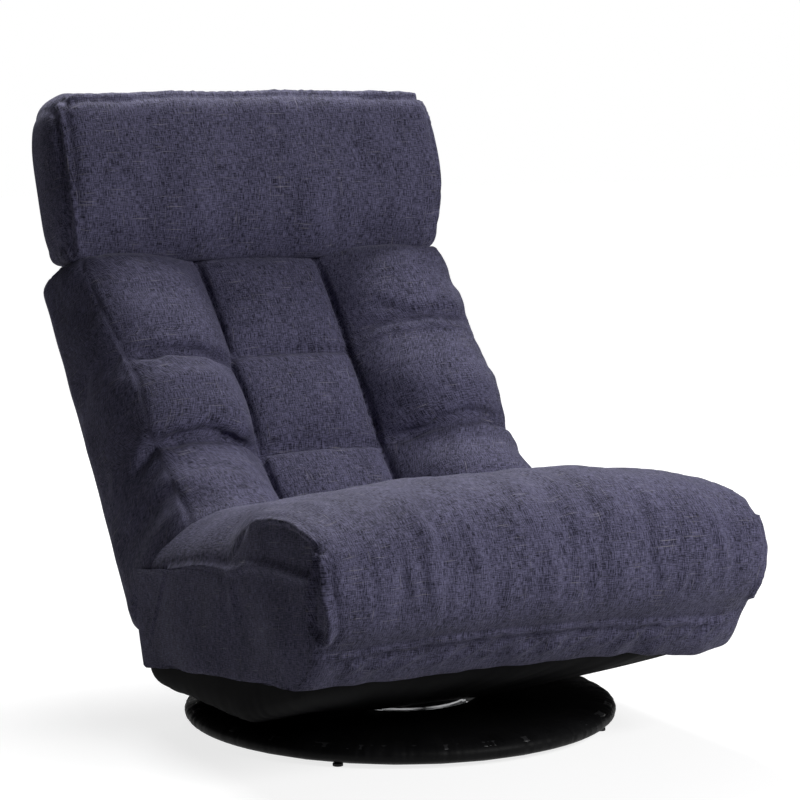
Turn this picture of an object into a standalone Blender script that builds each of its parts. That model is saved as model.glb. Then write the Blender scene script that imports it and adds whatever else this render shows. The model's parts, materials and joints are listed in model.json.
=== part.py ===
"""Swivel floor chair: a folding legless chair on a round ball-bearing turntable base.

Metres, +Z up, the chair faces -Y. The origin is the middle of the whole chair's box, on the floor.
Three steel frames are joined by four ratchet hinges, padded with slotted foam, and stand on the turntable.
"""

import math

import bmesh
import bpy
from mathutils import Matrix, Vector

# Overall places and angles
SWIVEL_Y = -0.0745
SEAT_TILT = math.radians(9.0)
BACK_TILT = math.radians(35.5)
HEAD_TILT = math.radians(17.5)
RECLINE_Y = 0.152
RECLINE_Z = 0.135
NECK_RISE = 0.473

# Clearances and shared sizes
GAP = 0.0003
OVERRUN = 0.02
TUBE_R = 0.011
CROSS_R = 0.007
HINGE_X = 0.235
SLOT_CLEAR = 0.0006
RIM_MERGE = 0.00001

# Base ring, arms and feet
FOOT_H = 0.003
FOOT_R = 0.006
FOOT_COUNT = 4
RING_TUBE_R = 0.011
ARM_W = 0.030
ARM_T = 0.005
ARM_END_CLEAR = 0.0005
COVER_R = 0.260
COVER_T = 0.0012
COVER_HUB_R = 0.092
COVER_HUB_Z = 0.0275
COVER_WRAP = math.radians(145.0)

# Turntable
PLATE_EDGE = 0.0036
PLATE_T = 0.002
PLATE_HOLE_R = 0.030
RACE_R = 0.058
RACE_LIP_W = 0.010
LIP_T = 0.0015
LIP_H = 0.004
BALL_R = 0.0035
BALL_COUNT = 10
CAGE_W = 0.011
CAGE_T = 0.0015
SCREW_R = 0.0025
SCREW_HEAD_R = 0.0048
SCREW_HEAD_H = 0.0022
SCREW_PITCH_R = 0.044
SCREW_COUNT = 4

# Carrier bars between turntable and seat frame
CARRIER_R = 0.008
CARRIER_SPACING = 0.106
CARRIER_FLAT_HALF = 0.080
CARRIER_KNEE_Z = 0.098
CARRIER_BEND_R = 0.030
CARRIER_SCREW_X = 0.055

# Ratchet hinge
RIVET_R = 0.005
RIVET_HEAD_R = 0.0085
RIVET_HEAD_H = 0.0022
LEAF_T = 0.004
CHEEK_T = 0.002
CHEEK_R = 0.0295
TOOTH_TIP_R = 0.026
TOOTH_ROOT_R = 0.0236
TOOTH_PITCH = math.radians(9.0)
TOOTH_TOP_SHARE = 0.30
TOOTH_ROOT_SHARE = 0.34
SOCKET_START = 0.0345
SOCKET_FLOOR = 0.0415
SOCKET_END = 0.072
SOCKET_R = 0.0135
CHEEK_TAIL_SHARE = 0.6
LEAF_NECK_SHARE = 0.7
PAWL_BEARING = math.radians(94.0)
PAWL_ARM = 0.018
PAWL_PIN_RISE = 0.0085
PAWL_PIN_R = 0.0026
PAWL_BOSS_R = 0.0048
PIN_LUG_SHARE = 1.5
PAWL_ARM_SHARE = 0.65
PAWL_LIFT = math.radians(11.0)
NOSE_TIP_W = 0.0008
NOSE_ROOT_W = 0.0021
SPRING_WIRE_R = 0.0006
SPRING_COIL_R = 0.0042
SPRING_TURN_COUNT = 2
SPRING_PITCH = 0.0018
SPRING_LEG = 0.008
RECLINE_TOOTH_COUNT = 6
HEAD_BACK_TOOTH_COUNT = 2
HEAD_FORWARD_TOOTH_COUNT = 1

# Seat frame and foam, measured from the recline axis in the seat's own plane
SEAT_FRAME_DEPTH = 0.430
SEAT_BEND_R = 0.060
SEAT_SIDE_FOAM = 0.037
SEAT_SIDE_SWELL = 0.009
SEAT_BOTTOM = 0.073
SEAT_SIDE_TOP = 0.050
SEAT_CROWN = 0.135
SEAT_SPLIT = 0.285
SEAT_NOSE = 0.5345
SEAT_REAR_END = 0.0035

# Back frame and foam, measured from the recline axis in the back's own plane
BACK_SIDE_FOAM = 0.027
BACK_SIDE_SWELL = 0.008
BACK_FOAM_REAR = 0.030
BACK_REAR = 0.060
GROOVE_X = 0.0845
TUFT_LOW = 0.171
TUFT_HIGH = 0.310
ROW_TOP = 0.452
GROOVE_LOW = 0.046
GROOVE_HIGH = 0.031
SEAM_LOW = 0.130
SEAM_HIGH = 0.076
CENTRE_CROWN = 0.027
BOLSTER_RISE = 0.021
BOLSTER_SINK = 0.014
CENTRE_FOLD_SHARE = 0.20
CREST_SHARE = 0.58
PUFF_POWER = 2.4
BACK_FOOT = 0.045
BACK_COVER_RISE = 0.014
FOLD_ANGLE = math.radians(28.0)
NECK_CLEAR = 0.003
LUMBAR_CLEAR = 0.0035
LUMBAR_KNEE = 0.020
CROSS_RISE_SHARES = (0.22, 0.52, 0.84)

# Head frame and foam, measured from the neck axis in the head's own plane
HEAD_SIDE_FOAM = 0.017
HEAD_SIDE_SWELL = 0.010
HEAD_FRONT = 0.090
HEAD_FOAM_REAR = 0.016
HEAD_REAR = 0.038
HEAD_TOP = 0.224
HEAD_COVER_FOOT = 0.020
HEAD_FRAME_RISE = 0.180
HEAD_BEND_R = 0.045

# The black bowl under the seat
DUST_T = 0.0015
DUST_RIM_INSET = 0.020
DUST_POWER = 4.0
DUST_BOTTOM_Z = 0.040
DUST_HOLE_HALF_X = 0.135
DUST_HOLE_HALF_Y = 0.078
DUST_FRONT = 0.455
DUST_DROP_SHARES = ((0.0, 0.0), (0.05, 0.30), (0.18, 0.62), (0.45, 0.85), (1.0, 1.0))

# Places that follow from the sizes above
RING_Z = FOOT_H + GAP + RING_TUBE_R
RING_R = COVER_R - COVER_T - GAP - RING_TUBE_R
ARM_TOP = RING_Z + ARM_T / 2
PLATE_Z = ARM_TOP + GAP
BALL_Z = PLATE_Z + PLATE_T + GAP + BALL_R
UPPER_Z = BALL_Z + BALL_R + GAP
CARRIER_Z = UPPER_Z + PLATE_T + GAP + CARRIER_R
FRAME_START = SOCKET_FLOOR + GAP
SLOT_R = TUBE_R + SLOT_CLEAR
CROSS_HEIGHTS = [FRAME_START + share * (NECK_RISE - 2 * FRAME_START) for share in CROSS_RISE_SHARES]
FRONT_ROWS = (TUFT_LOW, TUFT_HIGH, ROW_TOP)
PLATE_R = math.hypot(CARRIER_SCREW_X, CARRIER_SPACING / 2) + PLATE_EDGE
SEAT_HALF_W = HINGE_X + SEAT_SIDE_FOAM
SEAT_SIDE_W = SEAT_HALF_W + SEAT_SIDE_SWELL
BACK_HALF_W = HINGE_X + BACK_SIDE_FOAM
BACK_SIDE_W = BACK_HALF_W + BACK_SIDE_SWELL
HEAD_HALF_W = HINGE_X + HEAD_SIDE_FOAM
HEAD_SIDE_W = HEAD_HALF_W + HEAD_SIDE_SWELL

# Stations across the pads, and their outlines: shares of the reach forwards and of the height. A third
# share says how much of the crown a row of the seat keeps at its sides.
CROWN_POWER = 5
END_DRAW_SHARE = 0.14
LENGTH_DRAW_SHARE = 0.04
FOLD_CREASE_SHARE = 0.75
SEAT_STATION_SHARES = (0.0, 0.26, 0.52, 0.72, 0.865, 0.95, 1.0)
SEAT_FRONT_TOP_SHARES = (
    (0.0, 0.94, 0.0), (0.30, 0.99, 0.30), (0.60, 0.965, 0.70), (0.855, 0.83, 0.72), (1.0, 0.48, 0.80),
)
SEAT_FRONT_LOW_SHARES = ((1.0, 0.08), (0.84, 0.60), (0.66, 0.99), (0.36, 1.0), (0.0, 1.0))
SEAT_REAR_TOP_SHARES = ((0.0, 0.94, 0.0), (0.35, 0.90, 0.0), (0.7, 0.86, 0.0), (1.0, 0.79, 0.0))
SEAT_REAR_LOW_SHARES = ((1.0, 0.45), (0.93, 1.0), (0.5, 1.0), (0.0, 1.0))
BACK_STATION_SHARES = (0.0, 0.2, GROOVE_X / BACK_HALF_W, 0.42, 0.57, 0.74, 0.91, 1.0)
ROW_STEP_SHARES = (0.0, 0.22, 0.5, 0.78)
BACK_TOP_SHARE = 0.6
HEAD_OUTLINE_SHARES = (
    (-0.30, -0.02), (-0.90, -0.075), (-1.05, 0.16), (-0.97, 0.48), (-1.03, 0.74), (-0.90, 0.93),
    (-0.5, 1.0), (-0.05, 1.0),
)
HEAD_FOOT_SHARE = 0.06
HEAD_REAR_TOP_SHARE = 0.95
HEAD_COVER_TOP_SHARE = 0.97
PAD_STATION_SHARES = (0.0, 0.5, 0.9, 1.0)
PAD_EDGE_SHARE = 0.75
PAD_SLOPE_SHARES = (0.3, 1.4)
PAD_END_SHARE = 0.25

# How many facets or steps round things have
RING_FACET_COUNT = 30
RING_TUBE_FACET_COUNT = 8
COVER_WRAP_COUNT = 6
BALL_FACET_COUNTS = (8, 4)
HOLE_FACET_COUNT = 10
PIN_FACET_COUNT = 12
RIVET_HEAD_FACET_COUNT = 14
SLEEVE_FACET_COUNT = 14
CHEEK_FACET_COUNT = 16
RACK_REST_COUNT = 10
SPRING_STEP_COUNT = 8
DUST_FACET_COUNT = 32

COLOURS = {
    "linen": ((0.062, 0.060, 0.098, 1.0), 0.9, 0.0),
    "black_cloth": ((0.008, 0.008, 0.010, 1.0), 0.6, 0.0),
    "painted_steel": ((0.03, 0.03, 0.032, 1.0), 0.45, 0.6),
    "zinc_steel": ((0.55, 0.56, 0.58, 1.0), 0.35, 1.0),
    "nylon": ((0.75, 0.74, 0.70, 1.0), 0.5, 0.0),
    "rubber": ((0.015, 0.015, 0.015, 1.0), 0.8, 0.0),
}

PARTS = None
CUTTERS = None


def clear_scene():
    """Remove what the new file holds and make the two collections."""
    global PARTS, CUTTERS
    for obj in list(bpy.data.objects):
        bpy.data.objects.remove(obj, do_unlink=True)
    PARTS = bpy.data.collections.new("swivel_floor_chair")
    CUTTERS = bpy.data.collections.new("cutters")
    for collection in (PARTS, CUTTERS):
        bpy.context.scene.collection.children.link(collection)


def dress(obj, finish):
    """Give a piece a Principled material of its own in one of the finishes."""
    colour, roughness, metallic = COLOURS[finish]
    material = bpy.data.materials.new(obj.name + "_" + finish)
    material.use_nodes = True
    shader = material.node_tree.nodes["Principled BSDF"]
    shader.inputs["Base Color"].default_value = colour
    shader.inputs["Roughness"].default_value = roughness
    shader.inputs["Metallic"].default_value = metallic
    obj.data.materials.clear()
    obj.data.materials.append(material)


def place(name, bm, parent, finish, smooth_angle=0.7):
    """Turn a bmesh in the parent's coordinates into a named piece."""
    bmesh.ops.recalc_face_normals(bm, faces=bm.faces)
    mesh = bpy.data.meshes.new(name)
    bm.to_mesh(mesh)
    bm.free()
    mesh.shade_smooth()
    mesh.set_sharp_from_angle(angle=smooth_angle)
    obj = bpy.data.objects.new(name, mesh)
    PARTS.objects.link(obj)
    obj.parent = parent
    dress(obj, finish)
    return obj


def axis_empty(name, location, tilt, parent=None):
    """An empty on a joint's axis, turned about X by the tilt (backwards is positive)."""
    empty = bpy.data.objects.new(name, None)
    PARTS.objects.link(empty)
    empty.parent = parent
    empty.location = location
    empty.rotation_euler = (-tilt, 0, 0)
    return empty


def merged(bms):
    """One bmesh that holds the bodies of several."""
    whole = bmesh.new()
    for bm in bms:
        mesh = bpy.data.meshes.new("merge")
        bm.to_mesh(mesh)
        bm.free()
        whole.from_mesh(mesh)
        bpy.data.meshes.remove(mesh)
    return whole


def cylinder(radius, start, end, segments=20, end_radius=None):
    """A closed cylinder or cone between two points."""
    start = Vector(start)
    end = Vector(end)
    run = end - start
    bm = bmesh.new()
    turn = Vector((0, 0, 1)).rotation_difference(run).to_matrix().to_4x4()
    bmesh.ops.create_cone(
        bm, cap_ends=True, segments=segments, radius1=radius,
        radius2=radius if end_radius is None else end_radius, depth=run.length,
        matrix=Matrix.Translation((start + end) / 2) @ turn,
    )
    return bm


def box(low, high):
    """A closed box between two corners."""
    low = Vector(low)
    high = Vector(high)
    bm = bmesh.new()
    size = high - low
    bmesh.ops.create_cube(
        bm, size=1.0, matrix=Matrix.Translation((low + high) / 2) @ Matrix.Diagonal((*size, 1.0))
    )
    return bm


def turned(profile, segments=48):
    """A closed solid of revolution about Z from a closed profile of (radius, height) points."""
    bm = bmesh.new()
    points = [bm.verts.new((radius, 0, height)) for radius, height in profile]
    edges = [bm.edges.new((points[i], points[(i + 1) % len(points)])) for i in range(len(points))]
    bmesh.ops.spin(
        bm, geom=points + edges, cent=(0, 0, 0), axis=(0, 0, 1),
        angle=math.tau, steps=segments, use_merge=True,
    )
    bmesh.ops.remove_doubles(bm, verts=bm.verts, dist=RIM_MERGE)
    return bm


def prism(outline, half_t, middle_x=0):
    """A flat plate in the YZ plane: the outline extruded by half its thickness both ways."""
    bm = bmesh.new()
    face = bm.faces.new([bm.verts.new((middle_x - half_t, y, z)) for y, z in outline])
    grown = bmesh.ops.extrude_face_region(bm, geom=[face])
    moved = [item for item in grown["geom"] if isinstance(item, bmesh.types.BMVert)]
    bmesh.ops.translate(bm, verts=moved, vec=(2 * half_t, 0, 0))
    return bm


def polar(radius, angle, centre=(0, 0)):
    return (centre[0] + radius * math.cos(angle), centre[1] + radius * math.sin(angle))


def hull_of_circles(circles, segments=20):
    """The outline of a plate that wraps several circles of (y, z, radius)."""
    points = sorted(
        polar(radius, math.tau * i / segments, (y, z))
        for y, z, radius in circles for i in range(segments)
    )

    def half(run):
        chain = []
        for point in run:
            while len(chain) > 1:
                (ay, az), (by, bz) = chain[-2], chain[-1]
                if (by - ay) * (point[1] - az) - (bz - az) * (point[0] - ay) > 0:
                    break
                chain.pop()
            chain.append(point)
        return chain[:-1]

    return half(points) + half(points[::-1])


def bent_path(corners, bend_r, arc_steps=5):
    """The points of a run of straights whose corners are rounded to one bend radius."""
    corners = [Vector(corner) for corner in corners]
    points = [corners[0]]
    for before, corner, after in zip(corners, corners[1:], corners[2:]):
        arrive = (corner - before).normalized()
        leave = (after - corner).normalized()
        turn = arrive.angle(leave)
        cut = bend_r * math.tan(turn / 2)
        start = corner - arrive * cut
        inward = (leave - arrive * arrive.dot(leave)).normalized()
        centre = start + inward * bend_r
        for step in range(arc_steps + 1):
            angle = turn * step / arc_steps
            out = arrive * math.sin(angle) - inward * math.cos(angle)
            points.append(centre + out * bend_r)
    points.append(corners[-1])
    return points


def tube(points, radius, sides=2):
    """A round bar along the points, as a welded bmesh made from a curve with filled caps."""
    curve = bpy.data.curves.new("bar", "CURVE")
    curve.dimensions = "3D"
    curve.bevel_depth = radius
    curve.bevel_resolution = sides
    curve.use_fill_caps = True
    spline = curve.splines.new("POLY")
    spline.points.add(len(points) - 1)
    for knot, point in zip(spline.points, points):
        knot.co = (*point, 1.0)
    obj = bpy.data.objects.new("bar", curve)
    PARTS.objects.link(obj)
    bpy.context.view_layer.update()
    mesh = bpy.data.meshes.new_from_object(obj.evaluated_get(bpy.context.evaluated_depsgraph_get()))
    bm = bmesh.new()
    bm.from_mesh(mesh)
    bmesh.ops.remove_doubles(bm, verts=bm.verts, dist=RIM_MERGE)
    bmesh.ops.recalc_face_normals(bm, faces=bm.faces)
    bpy.data.objects.remove(obj, do_unlink=True)
    bpy.data.curves.remove(curve)
    bpy.data.meshes.remove(mesh)
    return bm


def cut_or_join(obj, bm, parent, operation):
    """Apply one Boolean modifier to a piece with a tool given in a parent's coordinates."""
    bmesh.ops.recalc_face_normals(bm, faces=bm.faces)
    mesh = bpy.data.meshes.new(obj.name + "_tool")
    bm.to_mesh(mesh)
    bm.free()
    tool = bpy.data.objects.new(obj.name + "_tool", mesh)
    CUTTERS.objects.link(tool)
    tool.parent = parent
    tool.hide_render = True
    tool.display_type = "WIRE"
    modifier = obj.modifiers.new(operation.lower(), "BOOLEAN")
    modifier.operation = operation
    modifier.solver = "EXACT"
    modifier.use_self = True
    modifier.object = tool
    return tool


def soften(obj, levels=1):
    modifier = obj.modifiers.new("soft", "SUBSURF")
    modifier.levels = levels
    modifier.render_levels = levels


def loft(stations, outline_at, sharp=(), folds=(), groove=None):
    """A closed pad: one ring of (y, z) points at each X station, its ends closed by one face each.

    sharp and folds list the points whose line across the pad stays crisp, or is sewn in as a fold.
    groove is the X of two stations whose whole ring is sewn in.
    """
    bm = bmesh.new()
    crease = bm.edges.layers.float.new("crease_edge")
    rings = [[bm.verts.new((x, y, z)) for y, z in outline_at(x)] for x in stations]
    count = len(rings[0])
    for near, far in zip(rings, rings[1:]):
        for i in range(count):
            bm.faces.new((near[i], near[(i + 1) % count], far[(i + 1) % count], far[i]))
        for i in sharp:
            bm.edges.get((near[i], far[i]))[crease] = 1.0
        for i in folds:
            bm.edges.get((near[i], far[i]))[crease] = FOLD_CREASE_SHARE
    for x, ring in zip(stations, rings):
        if groove is not None and abs(abs(x) - groove) < GAP:
            for i in range(count):
                bm.edges.get((ring[i], ring[(i + 1) % count]))[crease] = FOLD_CREASE_SHARE
    bm.faces.new(rings[0])
    bm.faces.new(rings[-1])
    return bm


def draw_in(points, y_share, z_share):
    """Points drawn towards their middle by one share in Y and one in Z, for the rounded end of a pad."""
    middle_y = sum(y for y, z in points) / len(points)
    middle_z = sum(z for y, z in points) / len(points)
    return [(y + (middle_y - y) * y_share, z + (middle_z - z) * z_share) for y, z in points]


def both_sides(half):
    """X stations for the whole width from those of one half, the middle first."""
    return [-x for x in half[:0:-1]] + list(half)


def snug(radius, segments):
    """The radius of a faceted bore whose flats clear a round piece by the gap."""
    return (radius + GAP) / math.cos(math.pi / segments)


def spaced(count, radius, start=0.0):
    """Places round a circle about Z."""
    return [polar(radius, start + math.tau * i / count) for i in range(count)]


def round_hole(x, y, low, high, radius=SCREW_R + GAP):
    """A cutter for a screw's hole."""
    return cylinder(radius, (x, y, low), (x, y, high), HOLE_FACET_COUNT)


def build_base(base):
    """The floor ring with its cross arms, rubber feet and cloth cover."""
    segments = RING_TUBE_FACET_COUNT
    circle = [polar(RING_TUBE_R, math.tau * i / segments, (RING_R, RING_Z)) for i in range(segments)]
    place("base_ring", turned(circle, RING_FACET_COUNT), base, "painted_steel")

    inner = RING_R - RING_TUBE_R
    slope = math.tan(math.pi / RING_FACET_COUNT)
    reach = inner - ARM_W / 2 * slope - ARM_END_CLEAR
    arms = place(
        "base_arms",
        box((-reach, -ARM_W / 2, ARM_TOP - ARM_T), (reach, ARM_W / 2, ARM_TOP)),
        base, "painted_steel",
    )
    cross = box((-ARM_W / 2, -reach, ARM_TOP - ARM_T), (ARM_W / 2, reach, ARM_TOP))
    cut_or_join(arms, cross, base, "UNION")
    holes = [
        round_hole(x, y, ARM_TOP - ARM_T - OVERRUN, ARM_TOP + OVERRUN)
        for x, y in spaced(SCREW_COUNT, SCREW_PITCH_R)
    ]
    cut_or_join(arms, merged(holes), base, "DIFFERENCE")

    for i, (x, y) in enumerate(spaced(FOOT_COUNT, RING_R, math.pi / FOOT_COUNT)):
        foot = cylinder(FOOT_R, (x, y, 0), (x, y, FOOT_H), PIN_FACET_COUNT)
        place(f"rubber_foot_{i + 1}", foot, base, "rubber")

    def wrap(radius):
        steps = COVER_WRAP_COUNT
        turns = [math.pi / 2 - COVER_WRAP * i / steps for i in range(steps + 1)]
        return [polar(radius, turn, (RING_R, RING_Z)) for turn in turns]
    rim = wrap(RING_TUBE_R + GAP)
    shell = wrap(RING_TUBE_R + GAP + COVER_T)
    hub_outer = [(COVER_HUB_R, COVER_HUB_Z), ((COVER_HUB_R + RING_R) / 2, COVER_HUB_Z - COVER_T / 2)]
    hub_inner = [(r, z - COVER_T) for r, z in hub_outer]
    profile = hub_outer + shell + rim[::-1] + hub_inner[::-1]
    place("base_cover", turned(profile, RING_FACET_COUNT), base, "black_cloth")


def race_plate(z, lip_r, lip_way):
    """A pressed turntable plate with a hole and one raised lip that keeps the balls in."""
    face = z + PLATE_T if lip_way > 0 else z
    other = z if lip_way > 0 else z + PLATE_T
    rim = face + lip_way * LIP_H
    profile = [
        (PLATE_HOLE_R, other), (PLATE_R, other), (PLATE_R, face), (lip_r + LIP_T, face),
        (lip_r + LIP_T, rim), (lip_r, rim), (lip_r, face), (PLATE_HOLE_R, face),
    ]
    return turned(profile, RING_FACET_COUNT)


def place_screws(name, places, tip_z, head_z, way, parent):
    """Pan screws on vertical axes, each a node: the head lies beyond head_z in the given way."""
    for i, (x, y) in enumerate(places):
        shank = round_hole(x, y, tip_z, head_z + way * SCREW_HEAD_H / 2, SCREW_R)
        head = cylinder(SCREW_HEAD_R, (x, y, head_z), (x, y, head_z + way * SCREW_HEAD_H), PIN_FACET_COUNT)
        screw = place(f"{name}_{i + 1}", shank, parent, "zinc_steel")
        cut_or_join(screw, head, parent, "UNION")


def build_turntable(base, cage_axis, seat_turn):
    """Two pressed plates with a caged ring of balls between them, and the screws that hold them."""
    places = spaced(SCREW_COUNT, SCREW_PITCH_R)
    plate = race_plate(PLATE_Z, RACE_R + RACE_LIP_W, 1)
    lower = place("turntable_lower_plate", plate, base, "zinc_steel")
    lower_holes = [round_hole(x, y, PLATE_Z - OVERRUN, PLATE_Z + OVERRUN) for x, y in places]
    cut_or_join(lower, merged(lower_holes), base, "DIFFERENCE")
    place_screws("base_screw", places, ARM_TOP - ARM_T, PLATE_Z + PLATE_T + GAP, 1, base)

    half_t = CAGE_T / 2
    band = [
        (RACE_R - CAGE_W / 2, BALL_Z - half_t), (RACE_R + CAGE_W / 2, BALL_Z - half_t),
        (RACE_R + CAGE_W / 2, BALL_Z + half_t), (RACE_R - CAGE_W / 2, BALL_Z + half_t),
    ]
    cage = place("ball_cage", turned(band, RING_FACET_COUNT), cage_axis, "nylon")
    balls = []
    for x, y in spaced(BALL_COUNT, RACE_R):
        bm = bmesh.new()
        across, down = BALL_FACET_COUNTS
        bmesh.ops.create_uvsphere(
            bm, u_segments=across, v_segments=down, radius=BALL_R,
            matrix=Matrix.Translation((x, y, BALL_Z)),
        )
        balls.append(bm)
    cut_or_join(cage, merged(balls), cage_axis, "UNION")

    upper = place(
        "turntable_upper_plate",
        race_plate(UPPER_Z, RACE_R - RACE_LIP_W - LIP_T, -1), seat_turn, "zinc_steel",
    )
    upper_holes = [
        round_hole(x, y, UPPER_Z - OVERRUN, UPPER_Z + OVERRUN) for x, y in carrier_screws()
    ]
    cut_or_join(upper, merged(upper_holes), seat_turn, "DIFFERENCE")
    place_screws("carrier_screw", carrier_screws(), CARRIER_Z, UPPER_Z - GAP, -1, seat_turn)


def carrier_screws():
    """Places of the four screws between the upper plate and the carrier bars."""
    half = CARRIER_SPACING / 2
    return [(x, y) for x in (-CARRIER_SCREW_X, CARRIER_SCREW_X) for y in (-half, half)]


def seat_tube_z(y):
    """Height of the seat frame's side tubes over the swivel's Y."""
    return RECLINE_Z + (RECLINE_Y - y) * math.tan(SEAT_TILT)


def build_carriers(seat_turn):
    """Two bent bars that carry the seat frame on the turntable's upper plate."""
    half = CARRIER_SPACING / 2
    for name, y in (("front_carrier_bar", -half), ("rear_carrier_bar", half)):
        top = seat_tube_z(y) - (TUBE_R + GAP) / math.cos(SEAT_TILT) - CARRIER_R * math.tan(SEAT_TILT)
        corners = [
            (-HINGE_X, y, top), (-HINGE_X, y, CARRIER_KNEE_Z), (-CARRIER_FLAT_HALF, y, CARRIER_Z),
            (CARRIER_FLAT_HALF, y, CARRIER_Z), (HINGE_X, y, CARRIER_KNEE_Z), (HINGE_X, y, top),
        ]
        rod = tube(bent_path(corners, CARRIER_BEND_R, 3), CARRIER_R, 2)
        bar = place(name, rod, seat_turn, "painted_steel")
        holes = [
            round_hole(x, y, CARRIER_Z - OVERRUN, CARRIER_Z + GAP)
            for x in (-CARRIER_SCREW_X, CARRIER_SCREW_X)
        ]
        cut_or_join(bar, merged(holes), seat_turn, "DIFFERENCE")


def socket(direction, middle_x):
    """The solid sleeve of a hinge arm, and the cutter of the bore that takes the frame tube."""
    def at(distance):
        y, z = polar(distance, direction)
        return (middle_x, y, z)
    sleeve = cylinder(SOCKET_R, at(SOCKET_START), at(SOCKET_END), SLEEVE_FACET_COUNT)
    bore_r = snug(TUBE_R, SLEEVE_FACET_COUNT)
    bore = cylinder(bore_r, at(SOCKET_FLOOR), at(SOCKET_END + OVERRUN), SLEEVE_FACET_COUNT)
    return sleeve, bore


def toothed_outline(nose_angle, teeth_back, teeth_forward):
    """The hinge leaf's disc: ratchet teeth where the pawl can reach, a plain arc elsewhere."""
    first = nose_angle - (teeth_forward + 1) * TOOTH_PITCH
    last = nose_angle + (teeth_back + 1) * TOOTH_PITCH
    points = []
    for k in range(-teeth_forward - 1, teeth_back + 2):
        gap = nose_angle + k * TOOTH_PITCH
        root = TOOTH_ROOT_SHARE * TOOTH_PITCH / 2
        tip = (1 - TOOTH_TOP_SHARE) * TOOTH_PITCH / 2
        points += [
            polar(TOOTH_TIP_R, gap - tip), polar(TOOTH_ROOT_R, gap - root),
            polar(TOOTH_ROOT_R, gap + root), polar(TOOTH_TIP_R, gap + tip),
        ]
    rest = math.tau - (last - first) - TOOTH_PITCH
    steps = RACK_REST_COUNT
    start = last + TOOTH_PITCH / 2
    points += [polar(TOOTH_ROOT_R, start + rest * (i + 0.5) / steps) for i in range(steps)]
    return points


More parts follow.
